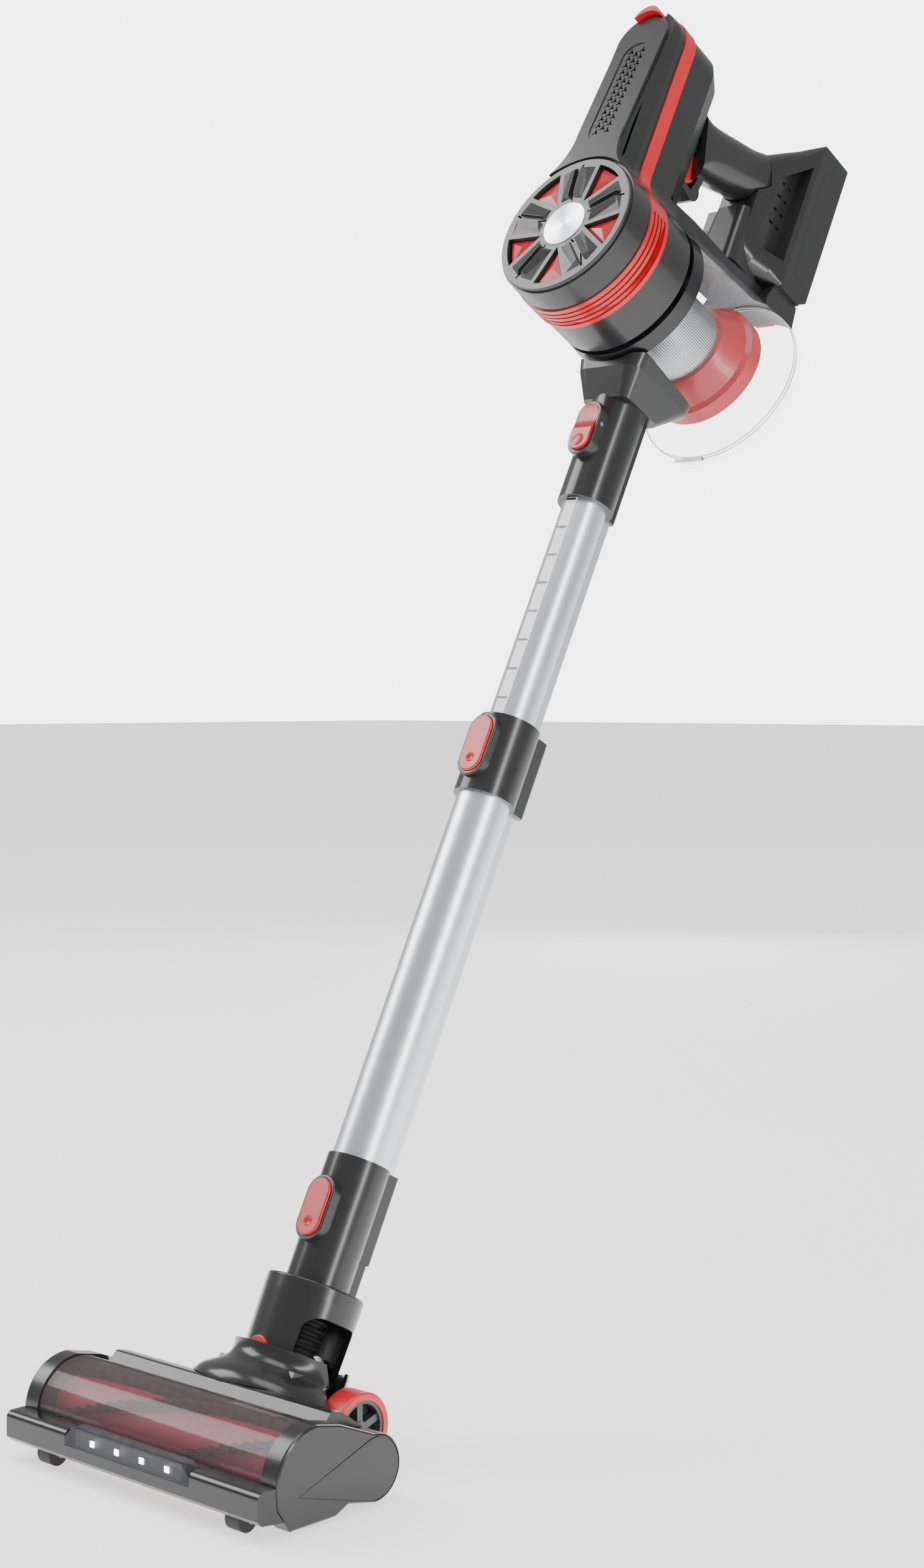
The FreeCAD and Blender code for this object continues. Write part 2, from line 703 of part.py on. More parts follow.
def grip_section(distance, half_w, half_h, radius):
    """Rounded section across the grip."""
    rise = math.radians(GRIP_RISE)
    centre = Vector(*along_grip(distance))
    up = Vector(0, -math.sin(rise), math.cos(rise))
    side = Vector(1, 0, 0)
    return outline(rounded_steps(half_w, half_h, radius),
                   lambda u, v: centre + side * u + up * v)


GRIP_START = -50.0
GRIP_END = 32.0


def make_grip():
    """Hollow hand grip between mast and battery dock, with its trigger guard."""
    body = Part.makeLoft([
        grip_section(GRIP_START + 4, 17.0, 26.0, 12.0),
        grip_section(GRIP_START + 14, GRIP_HALF, 22.0, 14.0),
        grip_section(-20, GRIP_HALF, GRIP_R, 15.0),
        grip_section(10, GRIP_HALF - 0.5, GRIP_R - 0.6, 15.0),
        grip_section(GRIP_END, GRIP_HALF + 0.5, GRIP_R, 15.0),
    ], True, False)
    hollow = grip_rod(GRIP_HALF - 4.5, GRIP_START - 10, GRIP_END + 2)
    guard = slab([(-26, 772), (-9, 768), ((-3, 772), (-4, 780)), (-1, 800), (-8, 800),
                  (-9.5, 783), (-12, 774.5), (-26, 777)], on_x(-8.0), 16.0)
    guard_slot = box(-6.4, 6.4, -30, -6, 773, 800)
    shape = fuse([body, guard.cut(guard_slot)])
    return cut(shape, hollow, trigger_space(), mast_cover())


def mast_cover():
    """Solid outline of the rear housing's tail, which the grip butts against."""
    cap = loft([outline(mast_block(TOWER_HALF + 0.02), on_y(TOWER_REAR)),
                outline(mast_block(TOWER_HALF - 8.98), on_y(TOWER_REAR + 16))])
    return fuse([cap, keyhole_solid(STRIPE_Y1, TOWER_REAR, 0)])


def trigger_steps():
    return [(-25.0, 798), (-25.0, 779), ((-23.0, 775.5), (-19.0, 776.5)),
            ((-12.0, 781.5), (-11.0, 790.0)), (-11.0, 801)]


def trigger_space():
    body = slab(trigger_steps(), on_x(-6.0 - RUN), 12.0 + 2 * RUN)
    body = Part.makeCompound([body])
    raised = box(-6.0 - RUN, 6.0 + RUN, -25.0 - RUN, -10.0, 776, 809)
    return raised


def make_trigger():
    return slab(trigger_steps(), on_x(-6.0), 12.0)


def make_trigger_switch():
    """Micro switch above the trigger."""
    return box(-5, 5, -24, -12, 806, 815)


# ---- spine, dock and battery
def make_spine():
    """Beam over the cup that joins the drum to the battery dock."""
    steps = [(-33, DRUM_Z + 40), (-33, SPINE_Z - 2), ((-20, SPINE_Z - 1), (-8, SPINE_Z)),
             (36, SPINE_Z), (80, SPINE_Z + 5), (80, 741), (76, 741.5), (80, 734), (114, 733),
             (118, DRUM_Z + 50)]
    body = slab(steps, on_x(-SPINE_HALF), 2 * SPINE_HALF)
    foot_steps = [(76, 741.5), (81, 755.5), (111, 755.5), (114, 733), (80, 729)]
    foot = slab(foot_steps, on_x(-DOCK_HALF + 3), 2 * DOCK_HALF - 6)
    cup = cup_cone(SEAT, -60, 140)
    latch = cup_latch_block(RUN, RELEASE_TRAVEL)
    return cut(fuse([body, foot]), cup, mast_cover(), latch)


def dock_section(y, half_w, z0, z1, radius):
    middle = (z0 + z1) / 2
    return outline(rounded_steps(half_w, (z1 - z0) / 2, radius, 0, middle), on_y(y))


def make_dock():
    """Battery dock: flared from the grip and the column to a flat rear flange."""
    flare = Part.makeLoft([
        dock_section(46, 16.0, 762, 848, 12.0),
        dock_section(58, 21.0, 756, 858, 12.0),
        dock_section(72, 27.0, 756, 869, 10.0),
        dock_section(DOCK_Y0, DOCK_HALF, 755.6, DOCK_TOP, 3.0),
    ], True, True)
    flange = slab([(DOCK_Y0, 755.6), (DOCK_Y0, DOCK_TOP), (100.2, DOCK_TOP), (100.2, 868),
                   (92, 861), (92, 777), (97, 772.5), (109, 771.5), (109, 755.6)],
                  on_x(-DOCK_HALF), 2 * DOCK_HALF)
    column = loft([outline(rounded_steps(15.0, 12.0, 8.0, 0, 52.0), on_z(800)),
                   outline(rounded_steps(18.0, 20.0, 8.0, 0, 57.0), on_z(SPINE_Z + 3))])
    body = fuse([flare, flange, column])
    recesses = []
    for side in (-1, 1):
        steps = [(60, 775), (56, 792), (62, 838), (80, 858), (80, 775)]
        pocket = slab(steps, on_x(19.0 if side > 0 else -45.0), 26.0)
        recesses.append(pocket)
    bay = box(-DOCK_HALF + 5, DOCK_HALF - 5, 86, 93, 782, 856)
    room = Part.makeLoft([
        dock_section(54, 14.0, 774, 848, 9.0),
        dock_section(70, 16.0, 772, 858, 9.0),
        dock_section(88, 16.6, 772, 860, 9.0),
    ], True, True)
    seat = grip_rod(GRIP_R + 0.6, GRIP_END - 30, GRIP_END)
    vents = []
    for row in range(4):
        for column_y in (64.0, 72.5):
            z = 801.5 + row * 11.4
            vents.append(box(-30, 30, column_y, column_y + 4.0, z - 1.1, z + 1.1))
    return cut(body, *recesses, bay, room, seat, Part.makeCompound(vents), foot_space(),
               battery_button_block(RUN, RELEASE_TRAVEL))


def foot_space():
    """Top of the spine and its foot, which the dock stands on."""
    spine = slab([(-33, 700), (-33, SPINE_Z), (36, SPINE_Z), (80, SPINE_Z + 5), (80, 700)],
                 on_x(-60), 120)
    foot = slab([(76, 741.5), (81, 755.5), (130, 755.5), (130, 700), (76, 700)],
                on_x(-60), 120)
    return fuse([spine, foot])


def make_battery_pack():
    """Clip-on battery case."""
    steps = [(100.2 + SEAT, DOCK_TOP), (100.2 + SEAT, 868), (92 + SEAT, 861),
             (92 + SEAT, 777), (97 + SEAT, 772.5 + SEAT), (109 + SEAT, 771.5 + SEAT),
             (109 + SEAT, 757), (PACK_REAR, PACK_FOOT), (PACK_REAR, DOCK_TOP)]
    case = slab(steps, on_x(-DOCK_HALF), 2 * DOCK_HALF)
    hollow = box(-DOCK_HALF + 2.2, DOCK_HALF - 2.2, 94.6, PACK_REAR - 2.2, 784, 856)
    jack = rod(2.75, (-DOCK_HALF - 1, 108.5, 868), (-DOCK_HALF + 10.0, 108.5, 868))
    return cut(case, hollow, jack)


CELL_R = 9.0
CELL_LENGTH = 65.0


def make_battery_cells():
    """Lithium cells lying side by side, in two stacks of holders."""
    cells = []
    for i in range(3):
        x = (i - 1) * (2 * CELL_R + 0.6)
        cells.append(rod(CELL_R, (x, 104.2, 788), (x, 104.2, 788 + CELL_LENGTH)))
    return group(cells)


RELEASE_TRAVEL = 2.0


def battery_button_block(grow, travel):
    return box(-26.0 - grow, -15.6 + grow + travel, 47 - grow, 57 + grow,
               786 - grow, 803 + grow)


def make_battery_button():
    """Release button of the battery on the dock's left side."""
    return soften(battery_button_block(0, 0), 1.5, lambda c: c.x < -25.9)


def make_control_board():
    """Circuit board in the mast."""
    board = box(-18, 18, -62.0, -60.4, 752, 838)
    chips = [box(-10, 10, -60.4, -57.5, 770 + 22 * i, 782 + 22 * i) for i in range(3)]
    return fuse([board, *chips])


# ---- drum contents
def make_grille():
    """Front grille: five raised spokes, each with a kinked slot, and five windows."""
    face = rod(FACE_R, (0, FACE_FRONT, DRUM_Z), (0, DRUM_FRONT + 2.4, DRUM_Z))
    face = soften(face, 0.8, lambda c: c.y < FACE_FRONT + 0.1)
    centre = (0, 0, DRUM_Z)
    windows = around(window_shape(0), 5, centre, (0, 1, 0))
    slots = around(kinked_slot(), 5, centre, (0, 1, 0))
    hub = rod(CAP_FACE_R + FIT, (0, FACE_FRONT - 1, DRUM_Z), (0, FACE_FRONT + 2.0, DRUM_Z))
    boss = pipe(CAP_FACE_R + 2.0, 3.2, (0, FACE_FRONT + 2.0, DRUM_Z),
                (0, DRUM_FRONT + 4.0, DRUM_Z))
    body = cut(face, hub, *windows, *slots)
    return fuse([body, boss])


WINDOW_TURN = 58.0          # direction of the first window from the drum's right side
WINDOW_SPREAD = 15.0


def spot(radius, degrees):
    angle = math.radians(degrees)
    return (radius * math.cos(angle), DRUM_Z + radius * math.sin(angle))


def window_shape(shrink):
    """Three-cornered window with a curved outer edge."""
    spread = WINDOW_SPREAD - shrink
    steps = [spot(19.2 + 2.5 * shrink, WINDOW_TURN),
             spot(47.6 - shrink * 0.5, WINDOW_TURN - spread),
             (spot(47.6 - shrink * 0.5, WINDOW_TURN), spot(47.6 - shrink * 0.5, WINDOW_TURN + spread))]
    return slab(steps, on_y(FACE_FRONT - 1), 7.0)


def kinked_slot():
    """Thin slot along a spoke with one bend."""
    middle = WINDOW_TURN + 36
    inner_a, inner_b = spot(18.6, middle - 3.5), spot(18.6, middle + 0.5)
    bend_a, bend_b = spot(35.0, middle + 2.6), spot(35.0, middle + 4.8)
    end_a, end_b = spot(48.6, middle - 3.2), spot(48.6, middle - 1.4)
    return slab([inner_a, bend_a, end_a, end_b, bend_b, inner_b], on_y(FACE_FRONT - 1), 2.6)


def make_grille_inserts():
    """Red facets sunk in the grille's windows."""
    apex = spot(36.0, WINDOW_TURN)
    steps = [spot(20.2, WINDOW_TURN), spot(47.2, WINDOW_TURN - WINDOW_SPREAD + 0.6),
             spot(47.2, WINDOW_TURN + WINDOW_SPREAD - 0.6)]
    depth = DRUM_FRONT + 2.4
    corners = [Vector(x, depth, z) for x, z in steps]
    raised = [Vector(c.x, FACE_FRONT + 3.2, c.z) for c in corners]
    peak = Vector(apex[0], FACE_FRONT + 0.8, apex[1])
    facets = [Part.makePolygon([corners[2], corners[1], corners[0], corners[2]])]
    for i in range(3):
        j = (i + 1) % 3
        facets.append(Part.makePolygon([corners[i], corners[j], raised[j], raised[i],
                                        corners[i]]))
        facets.append(Part.makePolygon([raised[i], raised[j], peak, raised[i]]))
    shell = Part.makeShell([Part.Face(wire) for wire in facets])
    insert = Part.makeSolid(shell)
    if insert.Volume < 0:
        insert.reverse()
    return group(around(insert, 5, (0, 0, DRUM_Z), (0, 1, 0)))


def make_centre_cap():
    """Spun metal cap in the middle of the grille."""
    cap = rod(CAP_FACE_R, (0, FACE_FRONT - 0.6, DRUM_Z), (0, FACE_FRONT + 2.0, DRUM_Z))
    return soften(cap, 0.5, lambda c: c.y < FACE_FRONT - 0.5)


def make_exhaust_filter():
    """Pleated ring filter behind the grille."""
    steps = []
    count = 30
    for i in range(count):
        for radius, part in ((46.0, 0.0), (30.0, 0.5)):
            steps.append(spot(radius, 360.0 * (i + part) / count))
    ring = slab(steps, on_y(DRUM_FRONT + 7.5), 14.0)
    return ring.cut(rod(26.0, (0, DRUM_FRONT, DRUM_Z), (0, DRUM_FRONT + 30, DRUM_Z)))


def make_motor_can():
    """Stator can of the suction motor."""
    y0, y1 = -76.0, -50.0
    can = pipe(26.0, 22.0, (0, y0, DRUM_Z), (0, y1, DRUM_Z))
    plate = pipe(26.0, 5.0, (0, y0, DRUM_Z), (0, y0 + 2.5, DRUM_Z))
    holes = around(box(10, 18, y0 - 1, y0 + 4, DRUM_Z - 3, DRUM_Z + 3), 6,
                   (0, 0, DRUM_Z), (0, 1, 0))
    return cut(fuse([can, plate]), *holes)


def make_motor_bearing():
    return pipe(5.0 - FIT, 2.5 + FIT, (0, -76.0, DRUM_Z), (0, -73.5, DRUM_Z))


def make_impeller():
    """Fan wheel on the motor's shaft, with the rotor."""
    shaft = rod(2.5, (0, -77.0, DRUM_Z), (0, -40.0, DRUM_Z))
    rotor = rod(19.0, (0, -71.0, DRUM_Z), (0, -53.0, DRUM_Z))
    disc = rod(30.0, (0, -47.0, DRUM_Z), (0, -45.5, DRUM_Z))
    hub = cone(12.0, 5.0, (0, -45.5, DRUM_Z), (0, -39.0, DRUM_Z))
    blade = box(4.5, 29.5, -45.6, -40.5, DRUM_Z - 0.6, DRUM_Z + 0.6)
    blades = around(turn(blade, (17, 0, DRUM_Z), (0, 1, 0), 20), 9, (0, 0, DRUM_Z), (0, 1, 0))
    return fuse([shaft, rotor, disc, hub, *blades])


def make_motor_mount():
    """Rubber ring and spider that hold the motor in the drum."""
    ring = pipe(DRUM_R - WALL - FIT, DRUM_R - WALL - 4, (0, -64.0, DRUM_Z), (0, -52.0, DRUM_Z))
    sleeve = pipe(29.0, 26.0, (0, -64.0, DRUM_Z), (0, -52.0, DRUM_Z))
    arm = box(28.0, DRUM_R - WALL - 2, -60.0, -56.0, DRUM_Z - 4, DRUM_Z + 4)
    return fuse([ring, sleeve, *around(arm, 6, (0, 0, DRUM_Z), (0, 1, 0))])


# ---- dust cup
def make_dust_cup():
    """Clear dust cup, a little wider at its end."""
    outer = cup_cone(0, CUP_FRONT, CUP_END)
    bore = cup_cone(-CUP_WALL, CUP_FRONT - 1, CUP_END + 1)
    inlet = rod(14.0, (0, 8, DRUM_Z - CUP_R - 12), (0, 8, DRUM_Z - CUP_R + 12))
    lugs = [box(s * 9 - 3, s * 9 + 3, CUP_END - 9, CUP_END - 0.4, DRUM_Z - CUP_END_R - 5.0,
                DRUM_Z - CUP_END_R + 1.2) for s in (-1, 1)]
    pin = rod(1.5 + FIT, (-20, HINGE_Y, HINGE_Z), (20, HINGE_Y, HINGE_Z))
    return cut(fuse([outer, *lugs]), bore, inlet, pin)


HINGE_Y = CUP_END - 4.0
HINGE_Z = DRUM_Z - CUP_END_R - 3.0
LID_R = CUP_END_R - 0.3


def make_cup_lid():
    """Domed clear lid that swings down to empty the cup."""
    steps = [(0, CUP_END + RUN), (LID_R, CUP_END + RUN), (LID_R, CUP_END + 5.0),
             ((LID_R - 4.0, CUP_END + 13.5), (LID_R - 14.0, LID_END - 1.6)),
             (LID_R - 36.0, LID_END), (0, LID_END)]
    inner = [(0, CUP_END - 1), (LID_R - CUP_WALL, CUP_END - 1), (LID_R - CUP_WALL, CUP_END + 4.5),
             ((LID_R - 6.0, CUP_END + 12.0), (LID_R - 15.0, LID_END - 3.6)),
             (LID_R - 36.0, LID_END - CUP_WALL), (0, LID_END - CUP_WALL)]
    plane = on_z(DRUM_Z)
    dome = turned(steps, plane, (0, 0, DRUM_Z), (0, 1, 0))
    space = turned(inner, plane, (0, 0, DRUM_Z), (0, 1, 0))
    shell = dome.cut(space)
    knuckle = fuse([
        rod(3.0, (-5.6, HINGE_Y, HINGE_Z), (5.6, HINGE_Y, HINGE_Z)),
        box(-5.6, 5.6, HINGE_Y, CUP_END + 4.0, HINGE_Z - 3.0, HINGE_Z - 1.0),
        box(-5.6, 5.6, CUP_END + 0.8, CUP_END + 4.0, HINGE_Z - 2.0, DRUM_Z - LID_R + 1.0),
    ])
    pin = rod(1.5 + FIT, (-20, HINGE_Y, HINGE_Z), (20, HINGE_Y, HINGE_Z))
    gap = rod(CUP_END_R + RUN, (0, CUP_FRONT, DRUM_Z), (0, CUP_END + 0.4, DRUM_Z))
    room = rod(LID_R - CUP_WALL / 2, (0, CUP_END - 9, DRUM_Z), (0, CUP_END + 9, DRUM_Z))
    return cut(fuse([shell, cut(knuckle, gap, room)]), pin)


def make_pivot_pins():
    """Steel pins of the cup's lid and of the wand latch."""
    lid = rod(1.5, (-12.0, HINGE_Y, HINGE_Z), (12.0, HINGE_Y, HINGE_Z))
    latch = rod(1.5, (-10.4, LATCH_PIN_Y, LATCH_PIN_Z), (10.4, LATCH_PIN_Y, LATCH_PIN_Z))
    return group([lid, latch])


def make_cup_latch():
    """Button in the dock's foot that frees the lid."""
    return cup_latch_block(0, 0)


def cup_latch_block(grow, travel):
    return box(-8 - grow, 8 + grow, 111.6 - grow - travel, 117.5, 747 - grow, 754 + grow)


def make_mesh_filter():
    """Finely ribbed metal screen."""
    y0, y1 = -14.0, 40.0
    screen = pipe(MESH_R, MESH_R - 1.2, (0, y0, DRUM_Z), (0, y1, DRUM_Z))
    return screen


def make_cyclone_core():
    """Red core: a flange, the throat behind the screen and the wide skirt."""
    plane = (lambda u, v: Vector(u, v, DRUM_Z))
    steps = [(MESH_R - 3, -14.0), (MESH_R - 1.3, -14.0), (MESH_R - 1.3, 40.0),
             (MESH_R + 3.0, 40.2), (MESH_R + 5.0, 44.0), (CONE_R - 3.4, 58.0),
             (CONE_R + 0.4, 60.0), (CONE_R + 0.4, 72.0), (CONE_R - 2.0, 72.0),
             (CONE_R - 2.0, 62.0), (MESH_R + 2, 47.0), (MESH_R - 3, 44.0)]
    return turned(steps, plane, (0, 0, DRUM_Z), (0, 1, 0))


def make_cup_deck():
    """Dark deck that closes the front of the cup and carries the core."""
    deck = cut(cup_cone(-CUP_WALL - FIT, CUP_FRONT + 4, -14.0),
               rod(14.0, (0, -60, DRUM_Z), (0, 0, DRUM_Z)))
    waist = pipe(CUP_END_R, MESH_R + 6, (0, -20.0, DRUM_Z), (0, 0, DRUM_Z))
    return deck.cut(waist)


def make_pre_filter():
    """Foam filter inside the core."""
    return pipe(MESH_R - 3.2, 12.0, (0, -13.8, DRUM_Z), (0, 38.0, DRUM_Z))


# ---- inlet and socket
def make_wand_socket():
    """Hand unit's socket for the wand, with the flared neck under the drum."""
    sleeve = ribbed(SOCKET_R, OUTER_RIB_HALF + 0.6, OUTER_RIB_Y - 1.0, SOCKET_Z, 606, 2.5)
    front_pod = pod(LATCH_Z0 - 3.0, LATCH_Z1 + 3.0, 10.5, -26.0)
    neck = loft([
        outline(rounded_steps(20.0, 20.5, 6.0, 0, 2.0), on_z(598)),
        outline(rounded_steps(27.0, 35.0, 10.0, 0, 8.0), on_z(618)),
        outline(rounded_steps(36.0, 41.0, 14.0, 0, 7.0), on_z(660)),
    ])
    body = fuse([sleeve, front_pod, neck])
    tube_space = inner_section(FIT, SOCKET_Z - 1, INNER_Z1 + FIT)
    airway = rod(INNER_R - INNER_WALL, (0, 0, INNER_Z1 - 1), (0, 0, 640))
    bend = rod(INNER_R - INNER_WALL, (0, 0, 606), (0, 14, 680))
    drum = rod(DRUM_R + SEAT, (0, -120, DRUM_Z), (0, CUP_FRONT + FIT, DRUM_Z))
    band = rod(DRUM_R + 1.5, (0, BAND_Y0 - 1, DRUM_Z), (0, BAND_Y1 + 1, DRUM_Z))
    cup = cup_cone(SEAT, CUP_FRONT - SEAT, 140)
    well = slab(pod_steps(8.2 + RUN, LATCH_Z0 - RUN, LATCH_Z1 + RUN), on_y(-32), 15.6)
    pivot = rod(1.5 + FIT, (-12, LATCH_PIN_Y, LATCH_PIN_Z), (12, LATCH_PIN_Y, LATCH_PIN_Z))
    return cut(body, tube_space, airway, bend, drum, band, cup, well, pivot)


LATCH_Z0 = 552.0
LATCH_Z1 = 588.0
LATCH_PIN_Y = -21.5
LATCH_PIN_Z = 574.0


def make_wand_latch():
    """Rocker that locks the wand in its socket."""
    front = -28.4
    back = -19.2
    plate = slab(pod_steps(8.2, LATCH_Z0, LATCH_Z1), on_y(front), back - front)
    thumb = rod(26.0, (-12, front - 23.6, LATCH_Z1 - 9), (12, front - 23.6, LATCH_Z1 - 9))
    pin = rod(1.5 + FIT, (-12, LATCH_PIN_Y, LATCH_PIN_Z), (12, LATCH_PIN_Y, LATCH_PIN_Z))
    return cut(plate, thumb, pin)


# ================================================================ floor head
def cap_steps(grow=0.0):
    """Side outline of the head: round brush end, flat top, round rear, open belly."""
    r = WINDOW_R + 1.2 + grow
    top = BRUSH_Z + r
    rear_r = 19.5 + grow
    rear_y, rear_z = -73.5, -98.4
    return [
        (BRUSH_Y, top),
        ((BRUSH_Y - r * math.sqrt(0.5), BRUSH_Z + r * math.sqrt(0.5)), (BRUSH_Y - r, BRUSH_Z)),
        (BRUSH_Y - r + 1.0, -104 - grow), (BRUSH_Y - 20, FLOOR + 2.5 - grow),
        (BRUSH_Y + 14, FLOOR + 2.5 - grow), (BRUSH_Y + 24, FLOOR + 7.0 - grow),
        (rear_y, rear_z - rear_r),
        ((rear_y + rear_r, rear_z), (rear_y, rear_z + rear_r)),
        (BRUSH_Y + 18, top - 4),
    ]


def make_end_cap():
    """Right end cap with its teardrop panel line."""
    inner_x = HEAD_HALF - CAP_WIDTH
    edge = 1.6
    body = slab(cap_steps(), on_x(inner_x), CAP_WIDTH - edge)
    rims = ((edge, 0.0), (edge * 0.4, -edge * 0.2), (0.0, -edge * 0.8))
    for (depth_0, grow_0), (depth_1, grow_1) in zip(rims, rims[1:]):
        body = body.fuse(loft([outline(cap_steps(grow_0), on_x(HEAD_HALF - depth_0)),
                               outline(cap_steps(grow_1), on_x(HEAD_HALF - depth_1))]))
    hollow = rod(WINDOW_R - WINDOW_WALL - 1.0, (inner_x - 1, BRUSH_Y, BRUSH_Z),
                 (HEAD_HALF - 3.0, BRUSH_Y, BRUSH_Z))
    boss = pipe(11.0, 8.0, (inner_x + 1, BRUSH_Y, BRUSH_Z), (HEAD_HALF - 2.4, BRUSH_Y, BRUSH_Z))
    groove = drop_groove(HEAD_HALF)
    return fuse([cut(body, hollow, groove), boss])


def drop_steps(grow):
    r = 18.0 + grow
    y, z = -73.5, -98.4
    tip = (BRUSH_Y - 15.0 - grow, -100.3)
    return [tip, (y - 4, z - r), ((y + r, z), (y - 6, z + r - 0.6))]


def drop_groove(x):
    outer = slab(drop_steps(0), on_x(x - 0.7), 2.0)
    inner = slab(drop_steps(-0.7), on_x(x - 1.0), 3.0)
    return outer.cut(inner)


def head_shell(x0, x1, grow):
    return slab(cap_steps(grow), on_x(x0), x1 - x0)


COVER_SPLIT_Y = BRUSH_Y + 20
SCREW_XS = (-80.0, -50.0, 50.0, 80.0)
SCREW_Y = -84.0
SCREW_Z = FLOOR + 6.2


def make_head_base():
    """Lower housing: belly, brush chamber walls and the two arms to the axle."""
    half = HEAD_HALF - CAP_WIDTH
    body = head_shell(-half, half, -1.2)
    roof = box(-half - 1, half + 1, BRUSH_Y - 60, 0, BRUSH_Z - 6, -20)
    chamber = rod(WINDOW_R - WINDOW_WALL, (-half - 1, BRUSH_Y, BRUSH_Z),
                  (half + 1, BRUSH_Y, BRUSH_Z))
    mouth = box(-half + 3, half - 3, BRUSH_Y - 19, BRUSH_Y + 17, FLOOR - 5, BRUSH_Z)
    rear = box(-half + 3, half - 3, BRUSH_Y + 31, -62, FLOOR + 9, BRUSH_Z - 6)
    swing = rod(CRADLE_R + 1.0, (-CRADLE_HALF - 1.0, AXLE_Y, AXLE_Z),
                (CRADLE_HALF + 1.0, AXLE_Y, AXLE_Z))
    front = box(-half - 1, half + 1, BRUSH_Y - 60, BRUSH_Y - 15.5, BRUSH_Z - 60, 0)
    body = cut(body, front, roof, chamber, mouth, rear)
    arms = []
    for side in (-1, 1):
        x0 = side * (CRADLE_HALF + 4.0) - 2.7
        arm = slab([(-90, AXLE_Z - 14.5), (-90, AXLE_Z + 2), (AXLE_Y, AXLE_Z + 9),
                    ((AXLE_Y + 9, AXLE_Z), (AXLE_Y, AXLE_Z - 9))], on_x(x0), 5.4)
        arms.append(arm)
    body = fuse([body.cut(swing), *arms])
    axle = rod(AXLE_R, (-WHEEL_OUT, AXLE_Y, AXLE_Z), (WHEEL_OUT, AXLE_Y, AXLE_Z))
    inlet = rod(11.0, (0, BRUSH_Y + 10, BRUSH_Z - 8), (0, -70, BRUSH_Z - 8))
    screws = [rod(2.7, (x, SCREW_Y, FLOOR - 1), (x, SCREW_Y, SCREW_Z + 1.6)) for x in SCREW_XS]
    return cut(body, axle, inlet, *screws)


def make_rear_cover():
    """Upper rear housing with its long ridge."""
    half = HEAD_HALF - CAP_WIDTH
    body = head_shell(-half, half, 0)
    ridge = slab([(BRUSH_Y + 18, -72.0), ((BRUSH_Y + 22, -67.4), (BRUSH_Y + 28, -66.0)),
                  (-84, -67.6), (-66, -80.5), (-84, -90), (BRUSH_Y + 18, -90)],
                 on_x(-half + 4), 2 * half - 8)
    bevel = slab([(BRUSH_Y + 10, -72.6), (COVER_SPLIT_Y, -72.6), (BRUSH_Y + 26, -66.4),
                  (BRUSH_Y + 26, -50), (BRUSH_Y + 10, -50)], on_x(-half - 1), 2 * half + 2)
    body = fuse([body, ridge]).cut(bevel)
    keep = box(-half, half, COVER_SPLIT_Y, 0, BRUSH_Z - 6 + SEAT, -20)
    hollow = head_shell(-half + 2.4, half - 2.4, -3.0)
    ridge_in = slab([(BRUSH_Y + 24, -76), (BRUSH_Y + 27, -69), (-85, -70.5), (-69, -82),
                     (-86, -90), (BRUSH_Y + 24, -90)], on_x(-half + 6.4), 2 * half - 12.8)
    chamber = rod(WINDOW_R + RUN, (-half - 1, BRUSH_Y, BRUSH_Z), (half + 1, BRUSH_Y, BRUSH_Z))
    swing = rod(CRADLE_R + 1.0, (-CRADLE_HALF - 1.0, AXLE_Y, AXLE_Z),
                (CRADLE_HALF + 1.0, AXLE_Y, AXLE_Z))
    wheels = [rod(WHEEL_R + 2.0, (s * 38.6, AXLE_Y, AXLE_Z), (s * 59.0, AXLE_Y, AXLE_Z))
              for s in (-1, 1)]
    arms = box(-CRADLE_HALF - 7.5, CRADLE_HALF + 7.5, -81, 0, AXLE_Z - 12, AXLE_Z + 9)
    return cut(body.common(keep), hollow.common(keep), ridge_in, chamber, swing, *wheels, arms)


def make_window():
    """Clear smoked window over the brush."""
    half = HEAD_HALF - CAP_WIDTH - SEAT
    shell = pipe(WINDOW_R, WINDOW_R - WINDOW_WALL + FIT, (-half, BRUSH_Y, BRUSH_Z),
                 (half, BRUSH_Y, BRUSH_Z))
    keep = slab([(BRUSH_Y, BRUSH_Z), (COVER_SPLIT_Y - SEAT, BRUSH_Z + 12),
                 (COVER_SPLIT_Y - SEAT, BRUSH_Z + 60), (BRUSH_Y - 60, BRUSH_Z + 60),
                 (BRUSH_Y - 60, BRUSH_Z - 4)], on_x(-half), 2 * half)
    return shell.common(keep)


def make_bumper():
    """Front bumper bar."""
    half = HEAD_HALF - 0.6
    steps = [(BUMPER_Y, BUMPER_Z0 + 3), (BUMPER_Y, BUMPER_Z1 - 4),
             ((BUMPER_Y + 1.2, BUMPER_Z1 - 1.2), (BUMPER_Y + 4, BUMPER_Z1)),
             (BRUSH_Y - 21, BUMPER_Z1), (BRUSH_Y - 21, -112), (BUMPER_Y + 3, BUMPER_Z0)]
    body = slab(steps, on_x(-half), 2 * half)
    body = body.cut(rod(WINDOW_R + RUN, (-half - 1, BRUSH_Y, BRUSH_Z),
                        (half + 1, BRUSH_Y, BRUSH_Z)))
    caps = [mirrored_pair_side(s) for s in (-1, 1)]
    lens = box(-LIGHT_HALF - 9, LIGHT_HALF + 9, BUMPER_Y - 1, BUMPER_Y + 9.4,
               BUMPER_Z1 - 8.6, BUMPER_Z1 + 5)
    wells = [box(s * ROLLER_X - 6.2, s * ROLLER_X + 6.2, ROLLER_Y - 8.2, ROLLER_Y + 8.2,
                 FLOOR - 1, ROLLER_Z + 8.2) for s in (-1, 1)]
    pins = [rod(1.5, (s * ROLLER_X - 9, ROLLER_Y, ROLLER_Z), (s * ROLLER_X + 9, ROLLER_Y, ROLLER_Z))
            for s in (-1, 1)]
    return cut(body, *caps, lens, *wells, *pins)


